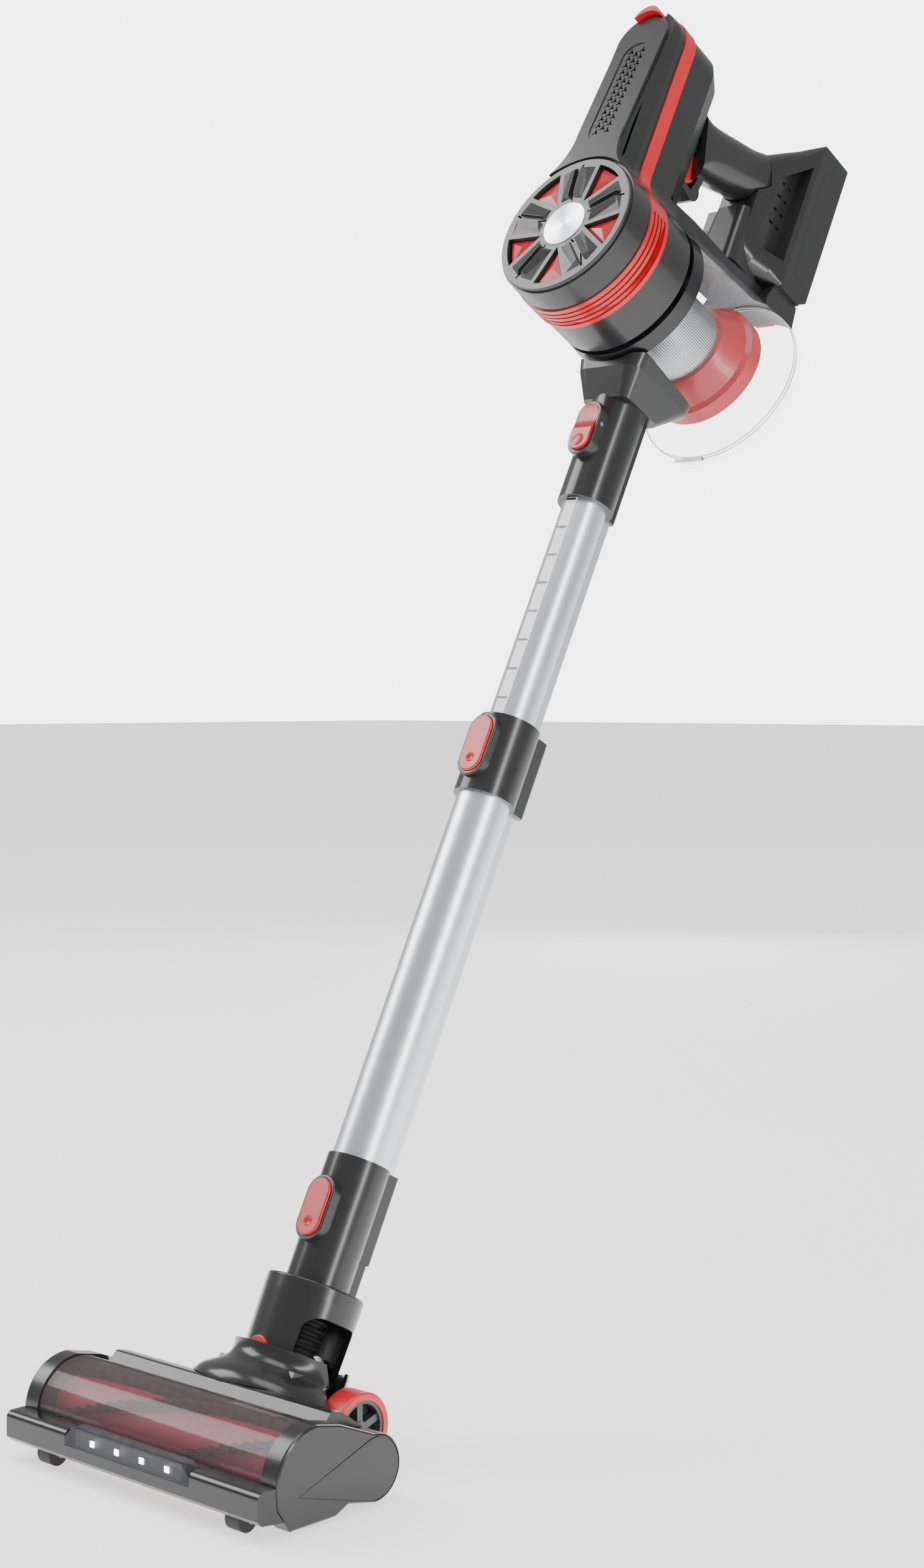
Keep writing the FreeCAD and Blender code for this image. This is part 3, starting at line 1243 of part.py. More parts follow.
def mirrored_pair_side(side):
    """Space that an end cap takes at the bumper's end."""
    x0 = HEAD_HALF - CAP_WIDTH - SEAT
    cap = slab(cap_steps(SEAT), on_x(x0), CAP_WIDTH + 4)
    return cap if side > 0 else mirrored(cap)


LIGHT_HALF = 46.0
ROLLER_Z = FLOOR + ROLLER_R


def make_light_lens():
    """Clear raised bar over the lamps, with slanted ends."""
    y0, y1 = BUMPER_Y - 0.0, BUMPER_Y + 9.2
    z0, z1 = BUMPER_Z1 - 8.4, BUMPER_Z1 + 3.2
    steps = [(LIGHT_HALF + 8.8, z0), (LIGHT_HALF + 8.8, z0 + 5), (LIGHT_HALF + 2, z1),
             (-LIGHT_HALF - 2, z1), (-LIGHT_HALF - 8.8, z0 + 5), (-LIGHT_HALF - 8.8, z0)]
    body = slab(steps, on_y(y0), y1 - y0)
    room = box(-LIGHT_HALF - 1, LIGHT_HALF + 1, y0 + 1.6, y1 + 1, z0 - 1, z1 - 1.8)
    clear = rod(WINDOW_R + RUN, (-120, BRUSH_Y, BRUSH_Z), (120, BRUSH_Y, BRUSH_Z))
    return cut(body, room, clear)


def make_light_board():
    """Lamp board with four white lamps."""
    z0 = BUMPER_Z1 - 8.2
    y = BUMPER_Y + 4.6
    board = box(-LIGHT_HALF, LIGHT_HALF, y, y + 1.4, z0, z0 + 8.0)
    return board


def make_lamps():
    y = BUMPER_Y + 4.6
    z = BUMPER_Z1 - 4.2
    lamps = []
    for i in range(4):
        x = (i - 1.5) * 24.0
        lamps.append(box(x - 1.8, x + 1.8, y - 1.4, y, z - 1.8, z + 1.8))
    return group(lamps)


ROLLER_HALF = HEAD_HALF - CAP_WIDTH - 1.5
ROLLER_WALL = 2.4
HUB_X = 20.0                # web inside the roller that the motor drives
MOTOR_R = 14.2


def make_brush_roller():
    """Hollow roller: closed with a stub shaft on the left, open over the motor."""
    core = rod(CORE_R, (-ROLLER_HALF, BRUSH_Y, BRUSH_Z), (ROLLER_HALF, BRUSH_Y, BRUSH_Z))
    left = rod(CORE_R - ROLLER_WALL, (-ROLLER_HALF + 4, BRUSH_Y, BRUSH_Z),
               (HUB_X - 2, BRUSH_Y, BRUSH_Z))
    right = rod(CORE_R - ROLLER_WALL, (HUB_X + 2, BRUSH_Y, BRUSH_Z),
                (ROLLER_HALF + 1, BRUSH_Y, BRUSH_Z))
    stub = rod(3.0, (-ROLLER_HALF - 9, BRUSH_Y, BRUSH_Z), (-ROLLER_HALF, BRUSH_Y, BRUSH_Z))
    bore = rod(2.0 + FIT, (HUB_X - 4, BRUSH_Y, BRUSH_Z), (HUB_X + 4, BRUSH_Y, BRUSH_Z))
    return cut(fuse([core, stub]), left, right, bore)


BRISTLE_ROWS = 4
BRISTLE_STEPS = 24
BRISTLE_TWIST = -150.0


def make_brush_bristles():
    """Spiral rows of stiff bristles round the roller."""
    rows = []
    length = 2 * ROLLER_HALF - 6
    step = length / BRISTLE_STEPS
    for row in range(BRISTLE_ROWS):
        for i in range(BRISTLE_STEPS):
            x0 = -length / 2 + i * step
            tuft = box(x0 + 0.1, x0 + step - 0.1, BRUSH_Y - 1.6, BRUSH_Y + 1.6,
                       BRUSH_Z + CORE_R + FIT, BRUSH_Z + BRUSH_R)
            angle = 360.0 * row / BRISTLE_ROWS + BRISTLE_TWIST * i / BRISTLE_STEPS
            rows.append(turn(tuft, (0, BRUSH_Y, BRUSH_Z), (1, 0, 0), angle))
    return group(rows)


def make_brush_motor():
    """Motor that sits in the roller, with its shaft and its mounting stub."""
    x_end = HEAD_HALF - 3.0
    can = rod(MOTOR_R, (HUB_X + 8, BRUSH_Y, BRUSH_Z), (ROLLER_HALF - 2, BRUSH_Y, BRUSH_Z))
    shaft = rod(2.0, (HUB_X - 2.5, BRUSH_Y, BRUSH_Z), (HUB_X + 9, BRUSH_Y, BRUSH_Z))
    stub = rod(8.0, (ROLLER_HALF - 3, BRUSH_Y, BRUSH_Z), (x_end, BRUSH_Y, BRUSH_Z))
    return fuse([can, shaft, stub])


def make_head_fasteners():
    """Wheel axle, roller pins, the roller's end bearing and the housing screws."""
    bearing = pipe(7.0, 3.0 + FIT, (-ROLLER_HALF - 8.2, BRUSH_Y, BRUSH_Z),
                   (-ROLLER_HALF - 4.2, BRUSH_Y, BRUSH_Z))
    pins = [rod(1.5, (s * ROLLER_X - 8.5, ROLLER_Y, ROLLER_Z),
                (s * ROLLER_X + 8.5, ROLLER_Y, ROLLER_Z)) for s in (-1, 1)]
    screws = [rod(2.6, (x, SCREW_Y, SCREW_Z), (x, SCREW_Y, SCREW_Z + 1.6)) for x in SCREW_XS]
    return group([make_wheel_axle(), bearing, *pins, *screws])


def make_end_caps():
    cap = make_end_cap()
    return group([cap, mirrored(cap)])


def make_wheel_axle():
    return rod(AXLE_R - FIT, (-WHEEL_OUT + 1.0, AXLE_Y, AXLE_Z), (WHEEL_OUT - 1.0, AXLE_Y, AXLE_Z))


def make_wheel_hub():
    """Five-spoked hub."""
    x0, x1 = WHEEL_OUT - WHEEL_WIDTH, WHEEL_OUT
    rim = pipe(HUB_R, HUB_R - 2.2, (x0 + 0.8, AXLE_Y, AXLE_Z), (x1 - 0.8, AXLE_Y, AXLE_Z))
    boss = rod(5.0, (x0 + 0.8, AXLE_Y, AXLE_Z), (x1 - 2.0, AXLE_Y, AXLE_Z))
    web = rod(HUB_R - 1.0, (x0 + 5.0, AXLE_Y, AXLE_Z), (x0 + 8.0, AXLE_Y, AXLE_Z))
    spoke = box(x0 + 7.5, x1 - 2.4, AXLE_Y - 2.2, AXLE_Y + 2.2, AXLE_Z + 3, AXLE_Z + HUB_R - 1)
    spokes = around(spoke, 5, (0, AXLE_Y, AXLE_Z), (1, 0, 0))
    bore = rod(AXLE_R + FIT, (x0 - 1, AXLE_Y, AXLE_Z), (x1 - 0.9, AXLE_Y, AXLE_Z))
    return fuse([rim, boss, web, *spokes]).cut(bore)


def make_wheel_tyre():
    """Tyre with rounded shoulders."""
    x0, x1 = WHEEL_OUT - WHEEL_WIDTH, WHEEL_OUT
    r, k = 1.4, 1.4 * (1 - math.sqrt(0.5))
    steps = [(x0, HUB_R), (x0, WHEEL_R - r), ((x0 + k, WHEEL_R - k), (x0 + r, WHEEL_R)),
             (x1 - r, WHEEL_R), ((x1 - k, WHEEL_R - k), (x1, WHEEL_R - r)), (x1, HUB_R)]
    return turned(steps, lambda u, v: Vector(u, AXLE_Y, AXLE_Z + v), (0, AXLE_Y, AXLE_Z),
                  (1, 0, 0))


def make_front_roller():
    wheel = rod(ROLLER_R, (ROLLER_X - 5.6, ROLLER_Y, ROLLER_Z), (ROLLER_X + 5.6, ROLLER_Y, ROLLER_Z))
    bore = rod(1.5 + FIT, (ROLLER_X - 9, ROLLER_Y, ROLLER_Z), (ROLLER_X + 9, ROLLER_Y, ROLLER_Z))
    return wheel.cut(bore)


# ================================================================ cradle (level axes)
def to_level(y, z):
    """A point of the wand's side view in the level axes."""
    return (y * COS + z * SIN, -y * SIN + z * COS)


def oval(centre, normal, half_x, half_y):
    """Closed oval wire whose long directions are x and the slope of its plane."""
    slope = Vector(*normal).cross(Vector(1, 0, 0))
    points = []
    for i in range(24):
        angle = 2 * math.pi * i / 24
        points.append(Vector(*centre) + Vector(half_x * math.cos(angle), 0, 0)
                      + slope * (half_y * math.sin(angle)))
    curve = Part.BSplineCurve()
    curve.interpolate(points, PeriodicFlag=True)
    return Part.Wire([curve.toShape()])


def tilted(angle):
    """Unit normal leaning back by an angle in degrees."""
    return (0, math.sin(math.radians(angle)), math.cos(math.radians(angle)))


def make_hump():
    """Concave skirt that rises from the head's roof to the ring round the yoke."""
    ring = COLLAR_R + 5.5
    top_y, top_z = to_level(0, PIN_Z + 3.0)
    low_y, low_z = to_level(0, PIN_Z - 6)
    return Part.makeLoft([
        oval((0, -60.0, -80.5), tilted(17), 52.0, 36.0),
        oval((0, -53.0, -71.0), tilted(21), 39.5, 34.0),
        oval((0, low_y - 1.0, low_z), tilted(LEAN), ring, ring),
        oval((0, top_y, top_z), tilted(LEAN), ring, ring),
    ], True, False)


def make_cradle():
    """Swivel socket that carries the yoke's pins and tilts about the wheel axle."""
    steps = [
        (-62.0, -62.0), (-76.5, -76.0), (-77.0, -92.0), (-58.0, -104.0),
        (AXLE_Y - 12, AXLE_Z - 15.5), ((AXLE_Y + 2, AXLE_Z - 19.4), (AXLE_Y + 17, AXLE_Z - 8)),
        (-6.0, -88.0), to_level(COLLAR_R + 5.5, PIN_Z - 12),
        to_level(COLLAR_R + 5.5, PIN_Z - 4),
    ]
    core = slab(steps, on_x(-CRADLE_HALF), 2 * CRADLE_HALF)
    core = core.common(rod(CRADLE_R, (-50, AXLE_Y, AXLE_Z), (50, AXLE_Y, AXLE_Z)))
    roof = head_shell(-90, 90, RUN)
    ridge = slab([(BRUSH_Y + 10, -72.3), ((BRUSH_Y + 22, -67.0), (BRUSH_Y + 28, -65.6)),
                  (-84, -67.2), (-65.6, -80.3), (-84, -95), (BRUSH_Y + 10, -95)], on_x(-90), 180)
    below = box(-90, 90, -140, 60, -140, -88)
    hump = cut(make_hump(), roof, ridge, below)
    for side in (-1, 1):
        hump = hump.cut(rod(WHEEL_R + 1.5, (side * (CRADLE_HALF + 0.6), AXLE_Y, AXLE_Z),
                            (side * 70, AXLE_Y, AXLE_Z)))
    return core.fuse(hump)


def wand_to_level(shape):
    """Turn a shape from the wand's axes into the level axes."""
    return turn(shape, (0, 0, 0), (1, 0, 0), -LEAN)


SWIVEL_RANGE = 25.0         # swing of the wand to each side, degrees
FRONT_BOSS_Y = 24.2


def leg_room(half, y0, y1):
    """Everything a leg passes through as it swings, between two planes."""
    radius = half + LEG_END_UP * 0.25 + RUN
    swing = math.radians(SWIVEL_RANGE)
    side, low = radius * math.cos(swing), PIN_Z - radius * math.sin(swing)
    reach = 70.0
    wide, high = side + reach * math.sin(swing), low + reach * math.cos(swing)
    fan = slab([(-side, low), (side, low), (wide, high), (-wide, high)], on_y(y0), y1 - y0)
    bottom = rod(radius, (0, y0, PIN_Z), (0, y1, PIN_Z))
    around_leg = rod(COLLAR_R + 3.4, (0, 0, PIN_Z - 60), (0, 0, PIN_Z + 90))
    return fan.fuse(bottom).common(around_leg)


def make_swivel_socket():
    """Cradle hollowed for the swinging yoke, with two bosses that hold the pins."""
    front = leg_room(FRONT_LEG_HALF, -45, -LEG_CLEAR_FRONT)
    front = front.cut(rod(BOSS_R, (0, -FRONT_BOSS_Y, PIN_Z), (0, 0, PIN_Z)))
    rear = leg_room(REAR_LEG_HALF, LEG_CLEAR_REAR, 45)
    rear = rear.cut(rod(BOSS_R, (0, 0, PIN_Z), (0, REAR_BOSS_Y, PIN_Z)))
    cap_room = rod(CAP_R + 0.8, (0, -COLLAR_R - 2.0, PIN_Z), (0, -28, PIN_Z))
    hose = rod(HOSE_R + RUN, (0, 0, PIN_Z - 14), (0, 0, PIN_Z + 40))
    notch = slab([(-6.0, PIN_Z + 40), (-6.0, PIN_Z + 2.5), (4.0, PIN_Z - 12.5),
                  (LEG_CLEAR_REAR + 1, PIN_Z - 12.5), (LEG_CLEAR_REAR + 1, PIN_Z + 40)],
                 on_x(-45), 90)
    pins = rod(PIN_R, (0, -25.9, PIN_Z), (0, 25.9, PIN_Z))
    boss = rod(BOSS_R, (0, PIN_START - 1, PIN_Z), (0, REAR_BOSS_Y, PIN_Z))
    foot = box(-BOSS_R, BOSS_R, PIN_START - 1, LEG_CLEAR_REAR + 0.2, PIN_Z - 20, PIN_Z)
    notch = cut(notch, boss, foot)
    rear = rear.cut(foot)
    axle = rod(AXLE_R + FIT, (-50, AXLE_Y, AXLE_Z), (50, AXLE_Y, AXLE_Z))
    duct = slab([(-100, -112), (-100, -84), (AXLE_Y - 8, -86), (AXLE_Y - 8, -108)],
                on_x(-12.5), 25.0)
    body = make_cradle()
    for tool in (front, rear, cap_room, hose, notch, pins):
        body = body.cut(wand_to_level(tool))
    return cut(body, axle, duct)


LEG_CLEAR_FRONT = 19.4      # inner faces of the cradle's room for the two legs
LEG_CLEAR_REAR = 17.0


# ================================================================ assembly
GRIP_LEVEL = to_level(GRIP_Y, GRIP_Z)


def finish(shape, on_wand):
    if on_wand:
        shape = wand_to_level(shape)
    else:
        shape = shape.copy()
    shape.translate(Vector(0, -GRIP_LEVEL[0], -GRIP_LEVEL[1]))
    return shape


WAND_PIECES = {
    "inner_tube": make_inner_tube,
    "scale_strip": make_scale_strip,
    "outer_tube": make_outer_tube,
    "clamp_collar": lambda: group([make_clamp_collar(), make_guide_bush()]),
    "clamp_button": lambda: cuff_button(*CLAMP_BUTTON),
    "leaf_springs": lambda: group([leaf_spring(*CLAMP_BUTTON), leaf_spring(*LOWER_BUTTON)]),
    "lower_cuff": make_lower_cuff,
    "release_button": lambda: cuff_button(*LOWER_BUTTON),
    "neck_tube": make_neck_tube,
    "collar_ring": make_collar,
    "neck_yoke": make_yoke,
    "swivel_pins": lambda: group([make_swivel_pins(), make_swivel_ring()]),
    "swivel_cap": make_swivel_cap,
    "neck_hose": make_hose,
    "front_housing": make_front_housing,
    "vent_panel": make_vent_panel,
    "power_button": make_power_button,
    "accent_band": make_accent_band,
    "rear_housing": make_rear_housing,
    "hand_grip": make_grip,
    "trigger": make_trigger,
    "cup_spine": make_spine,
    "battery_dock": make_dock,
    "battery_pack": make_battery_pack,
    "battery_cells": make_battery_cells,
    "battery_button": make_battery_button,
    "control_board": lambda: group([make_control_board(), make_power_switch(),
                                    make_trigger_switch()]),
    "front_grille": make_grille,
    "grille_inserts": make_grille_inserts,
    "centre_cap": make_centre_cap,
    "air_filters": lambda: group([make_exhaust_filter(), make_pre_filter()]),
    "suction_motor": lambda: group([make_motor_can(), make_motor_bearing(),
                                    make_motor_mount()]),
    "fan_rotor": make_impeller,
    "dust_cup": make_dust_cup,
    "cup_lid": make_cup_lid,
    "pivot_pins": make_pivot_pins,
    "cup_latch": make_cup_latch,
    "mesh_screen": make_mesh_filter,
    "cyclone_core": make_cyclone_core,
    "cup_deck": make_cup_deck,
    "wand_socket": make_wand_socket,
    "wand_latch": make_wand_latch,
}

LEVEL_PIECES = {
    "swivel_socket": make_swivel_socket,
    "head_base": make_head_base,
    "rear_cover": make_rear_cover,
    "brush_window": make_window,
    "front_bumper": make_bumper,
    "light_lens": make_light_lens,
    "lamp_board": lambda: group([make_light_board(), make_lamps()]),
    "end_caps": make_end_caps,
    "head_fasteners": make_head_fasteners,
    "brush_motor": make_brush_motor,
    "brush_roller": make_brush_roller,
    "brush_bristles": make_brush_bristles,
    "right_wheel_hub": make_wheel_hub,
    "left_wheel_hub": lambda: mirrored(make_wheel_hub()),
    "right_wheel_tyre": make_wheel_tyre,
    "left_wheel_tyre": lambda: mirrored(make_wheel_tyre()),
    "right_roller": make_front_roller,
    "left_roller": lambda: mirrored(make_front_roller()),
}

for name, maker in WAND_PIECES.items():
    finish(maker(), True).exportStep("parts/" + name + ".step")
for name, maker in LEVEL_PIECES.items():
    finish(maker(), False).exportStep("parts/" + name + ".step")
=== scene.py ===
import json
import math

import bmesh
import bpy
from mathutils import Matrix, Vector


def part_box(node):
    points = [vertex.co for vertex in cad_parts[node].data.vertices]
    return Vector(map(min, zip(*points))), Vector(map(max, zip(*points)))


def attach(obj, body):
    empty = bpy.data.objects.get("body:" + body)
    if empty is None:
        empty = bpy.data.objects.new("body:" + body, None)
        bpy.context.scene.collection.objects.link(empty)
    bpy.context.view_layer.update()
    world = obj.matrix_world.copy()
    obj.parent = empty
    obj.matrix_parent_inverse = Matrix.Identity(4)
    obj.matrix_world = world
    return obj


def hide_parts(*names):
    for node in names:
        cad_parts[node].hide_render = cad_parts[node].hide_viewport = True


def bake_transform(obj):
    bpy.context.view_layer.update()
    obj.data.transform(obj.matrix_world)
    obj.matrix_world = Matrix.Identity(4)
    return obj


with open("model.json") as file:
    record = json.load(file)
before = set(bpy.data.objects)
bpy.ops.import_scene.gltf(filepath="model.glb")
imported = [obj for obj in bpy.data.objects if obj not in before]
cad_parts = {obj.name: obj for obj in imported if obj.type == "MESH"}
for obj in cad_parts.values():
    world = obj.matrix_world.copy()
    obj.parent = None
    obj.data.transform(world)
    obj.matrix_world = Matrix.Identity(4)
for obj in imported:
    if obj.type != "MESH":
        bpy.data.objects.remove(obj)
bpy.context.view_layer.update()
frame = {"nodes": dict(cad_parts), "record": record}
NODES = frame["nodes"]

# ---- axes of the leaning wand, in the row frame (metres)
LEAN = math.radians(27.5)
UP = Vector((0, math.sin(LEAN), math.cos(LEAN)))        # up along the wand
BACK = Vector((0, math.cos(LEAN), -math.sin(LEAN)))     # to the wand's rear
SIDE = Vector((1, 0, 0))
GRIP = (0.0220, 0.8215)                                 # origin in wand axes (rear, up)
FLOOR_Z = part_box("right_wheel_tyre")[0].z

# ---- camera: right of the front, about level with the middle of the vacuum
CAMERA_AZIMUTH, CAMERA_ELEVATION = 42.789, 2.123        # degrees
CAMERA_PLACE = (1.04664, -1.41202, -0.38347)
CAMERA_LENS = 54.82

# ---- sizes of the vacuum that the added details follow, in wand axes (millimetres)
DRUM_UP = 678.9              # drum's axis
GRILLE_FRONT = -107.0        # front face of the grille
WINDOW_TURN = 58.0           # direction of the first grille window
SCALE_FRONT = -14.55         # front of the white scale strip
CUP_FRONT, CUP_END = -35.6, 88.0
CUP_R, CUP_END_R = 56.5, 64.5
LATCH_FRONT = -28.0          # front of the wand's release


def wand(x, y, z):
    """Point given in the wand's own axes, in millimetres."""
    return SIDE * (x / 1000) + BACK * (y / 1000 - GRIP[0]) + UP * (z / 1000 - GRIP[1])


# ---------------------------------------------------------------- materials
def new_material(name):
    material = bpy.data.materials.new(name)
    material.use_nodes = True
    tree = material.node_tree
    shader = tree.nodes["Principled BSDF"]
    return material, tree, shader


def tint(tree, colour, spread, scale):
    """Colour that wanders a little round a base, fixed to the object's own coordinates."""
    coords = tree.nodes.new("ShaderNodeTexCoord")
    noise = tree.nodes.new("ShaderNodeTexNoise")
    noise.inputs["Scale"].default_value = scale
    noise.inputs["Detail"].default_value = 3.0
    ramp = tree.nodes.new("ShaderNodeValToRGB")
    ramp.color_ramp.elements[0].position = 0.3
    ramp.color_ramp.elements[1].position = 0.7
    low = [max(0.0, c * (1 - spread)) for c in colour]
    high = [min(1.0, c * (1 + spread)) for c in colour]
    ramp.color_ramp.elements[0].color = (*low, 1)
    ramp.color_ramp.elements[1].color = (*high, 1)
    tree.links.new(coords.outputs["Object"], noise.inputs["Vector"])
    tree.links.new(noise.outputs["Fac"], ramp.inputs["Fac"])
    return coords, ramp


def add_bump(tree, shader, source, strength, distance):
    bump = tree.nodes.new("ShaderNodeBump")
    bump.inputs["Strength"].default_value = strength
    bump.inputs["Distance"].default_value = distance
    tree.links.new(source, bump.inputs["Height"])
    tree.links.new(bump.outputs["Normal"], shader.inputs["Normal"])


def grain(tree, coords, scale, stretch=(1, 1, 1)):
    """Fine noise, stretched along the object's axes."""
    mapping = tree.nodes.new("ShaderNodeMapping")
    mapping.inputs["Scale"].default_value = stretch
    noise = tree.nodes.new("ShaderNodeTexNoise")
    noise.inputs["Scale"].default_value = scale
    tree.links.new(coords.outputs["Object"], mapping.inputs["Vector"])
    tree.links.new(mapping.outputs["Vector"], noise.inputs["Vector"])
    return noise.outputs["Fac"]


def plastic(name, colour, roughness, coat=0.0, spread=0.06, grit=0.02):
    material, tree, shader = new_material(name)
    coords, ramp = tint(tree, colour, spread, 9.0)
    tree.links.new(ramp.outputs["Color"], shader.inputs["Base Color"])
    shader.inputs["Roughness"].default_value = roughness
    shader.inputs["IOR"].default_value = 1.5
    shader.inputs["Coat Weight"].default_value = coat
    shader.inputs["Coat Roughness"].default_value = 0.04
    add_bump(tree, shader, grain(tree, coords, 900.0), grit, 0.0002)
    return material


def metal(name, colour, roughness, stretch=(1, 1, 1), scale=400.0, grit=0.05):
    material, tree, shader = new_material(name)
    coords, ramp = tint(tree, colour, 0.05, 14.0)
    tree.links.new(ramp.outputs["Color"], shader.inputs["Base Color"])
    shader.inputs["Metallic"].default_value = 1.0
    shader.inputs["Roughness"].default_value = roughness
    add_bump(tree, shader, grain(tree, coords, scale, stretch), grit, 0.0002)
    return material


def clear(name, colour, alpha, roughness=0.06):
    """See-through plastic: alpha stands in for thin clear walls."""
    material, tree, shader = new_material(name)
    coords, ramp = tint(tree, colour, 0.04, 6.0)
    tree.links.new(ramp.outputs["Color"], shader.inputs["Base Color"])
    shader.inputs["Roughness"].default_value = roughness
    shader.inputs["Alpha"].default_value = alpha
    shader.inputs["IOR"].default_value = 1.5
    add_bump(tree, shader, grain(tree, coords, 60.0), 0.01, 0.0003)
    return material


def glow(name, colour, strength):
    material, tree, shader = new_material(name)
    coords, ramp = tint(tree, colour, 0.03, 40.0)
    tree.links.new(ramp.outputs["Color"], shader.inputs["Base Color"])
    shader.inputs["Roughness"].default_value = 0.3
    shader.inputs["Emission Color"].default_value = (*colour, 1)
    shader.inputs["Emission Strength"].default_value = strength
    return material


def angle_round_drum(tree, coords):
    """Angle about the drum's axis, in radians, worked out from the object's coordinates."""
    place = tree.nodes.new("ShaderNodeMapping")
    place.vector_type = "POINT"
    place.inputs["Rotation"].default_value = (LEAN, 0, 0)
    tree.links.new(coords.outputs["Object"], place.inputs["Vector"])
    parts = tree.nodes.new("ShaderNodeSeparateXYZ")
    tree.links.new(place.outputs["Vector"], parts.inputs["Vector"])
    height = tree.nodes.new("ShaderNodeMath")
    height.operation = "SUBTRACT"
    height.inputs[1].default_value = DRUM_UP / 1000 - GRIP[1]
    tree.links.new(parts.outputs["Z"], height.inputs[0])
    angle = tree.nodes.new("ShaderNodeMath")
    angle.operation = "ARCTAN2"
    tree.links.new(height.outputs["Value"], angle.inputs[0])
    tree.links.new(parts.outputs["X"], angle.inputs[1])
    return angle.outputs["Value"]


def waves(tree, value, count, phase=0.0):
    """Smooth waves from 0 to 1 along a value."""
    scaled = tree.nodes.new("ShaderNodeMath")
    scaled.operation = "MULTIPLY_ADD"
    scaled.inputs[1].default_value = count
    scaled.inputs[2].default_value = phase
    tree.links.new(value, scaled.inputs[0])
    sine = tree.nodes.new("ShaderNodeMath")
    sine.operation = "SINE"
    tree.links.new(scaled.outputs["Value"], sine.inputs[0])
    half = tree.nodes.new("ShaderNodeMath")
    half.operation = "MULTIPLY_ADD"
    half.inputs[1].default_value = 0.5
    half.inputs[2].default_value = 0.5
    tree.links.new(sine.outputs["Value"], half.inputs[0])
    return half.outputs["Value"]


def ribs_and_painted_sheen_metal(name, dark, bright, count, phase, roughness, bump):
    """Metal whose tone and height run in waves round the drum's axis. Where the bump is nil, as on the cap,
    the waves of tone are a painted highlight.
    """
    material, tree, shader = new_material(name)
    coords = tree.nodes.new("ShaderNodeTexCoord")
    wave = waves(tree, angle_round_drum(tree, coords), count, phase)
    ramp = tree.nodes.new("ShaderNodeValToRGB")
    ramp.color_ramp.elements[0].color = (*dark, 1)
    ramp.color_ramp.elements[1].color = (*bright, 1)
    tree.links.new(wave, ramp.inputs["Fac"])
    tree.links.new(ramp.outputs["Color"], shader.inputs["Base Color"])
    shader.inputs["Metallic"].default_value = 1.0
    shader.inputs["Roughness"].default_value = roughness
    add_bump(tree, shader, wave, bump, 0.0004)
    return material


GREY = (0.017, 0.017, 0.018)
BLACK = (0.007, 0.007, 0.008)
RED = (0.46, 0.008, 0.013)
STEEL = (0.62, 0.63, 0.65)

MATERIALS = {
    "satin_aluminium": metal("satin_aluminium", (0.80, 0.81, 0.84), 0.34, (60, 60, 1), 90.0, 0.04),
    "scale_white": plastic("scale_white", (0.88, 0.88, 0.89), 0.35),
    "dark_gloss": plastic("dark_gloss", GREY, 0.25, 0.12),
    "black_gloss": plastic("black_gloss", BLACK, 0.24, 0.2),
    "red_gloss": plastic("red_gloss", RED, 0.3, 0.2),
    "board_green": plastic("board_green", (0.03, 0.16, 0.08), 0.5),
    "grille_grey": plastic("grille_grey", (0.022, 0.022, 0.023), 0.28, 0.12),
    # cap_metal: painted highlight, two waves of bright and dark tone round the drum's axis stand in for the
    # spun metal's sheen; no bump goes with them.
    "cap_metal": ribs_and_painted_sheen_metal("cap_metal", (0.30, 0.31, 0.33), (0.97, 0.97, 0.98), 2.0, 0.4, 0.3, 0.0),
    "filter_cloth": plastic("filter_cloth", (0.8, 0.8, 0.77), 0.9, grit=0.2),
    "motor_steel": metal("motor_steel", STEEL, 0.35),
    "clear_cup": clear("clear_cup", (0.30, 0.31, 0.33), 0.05, 0.03),
    "pin_steel": metal("pin_steel", STEEL, 0.25),
    "mesh_silver": ribs_and_painted_sheen_metal("mesh_silver", (0.22, 0.23, 0.25), (0.80, 0.80, 0.82), 110.0, 0.0, 0.28, 0.6),
    "fan_white": plastic("fan_white", (0.7, 0.7, 0.68), 0.5),
    "cell_wrap": plastic("cell_wrap", (0.1, 0.3, 0.5), 0.4),
    "spring_steel": metal("spring_steel", STEEL, 0.3),
    "hose_rubber": plastic("hose_rubber", (0.014, 0.014, 0.015), 0.4),
    "window_smoke": clear("window_smoke", (0.16, 0.12, 0.13), 0.30),
    "lens_clear": clear("lens_clear", (0.10, 0.105, 0.115), 0.30),
    "lamp_white": glow("lamp_white", (0.9, 0.95, 1.0), 14.0),
    "bristle_dark": plastic("bristle_dark", (0.020, 0.008, 0.010), 0.85, grit=0.3),
    "brush_red": plastic("brush_red", (0.55, 0.02, 0.05), 0.4),
    "tyre_red": plastic("tyre_red", (0.66, 0.014, 0.020), 0.36, 0.2),
    "hub_dark": plastic("hub_dark", (0.05, 0.05, 0.053), 0.3, 0.2),
    "roller_black": plastic("roller_black", (0.02, 0.02, 0.02), 0.6),
}

SLOT_OF = {part["node"]: part["material_slot"] for part in frame["record"]["subparts"]}


def paint(obj, material):
    obj.data.materials.clear()
    obj.data.materials.append(material)


def smooth(obj, angle=35.0):
    """Shade smooth, keeping hard edges sharp."""
    for polygon in obj.data.polygons:
        polygon.use_smooth = True
    obj.data.set_sharp_from_angle(angle=math.radians(angle))


for node, obj in NODES.items():
    paint(obj, MATERIALS[SLOT_OF[node]])
    smooth(obj)


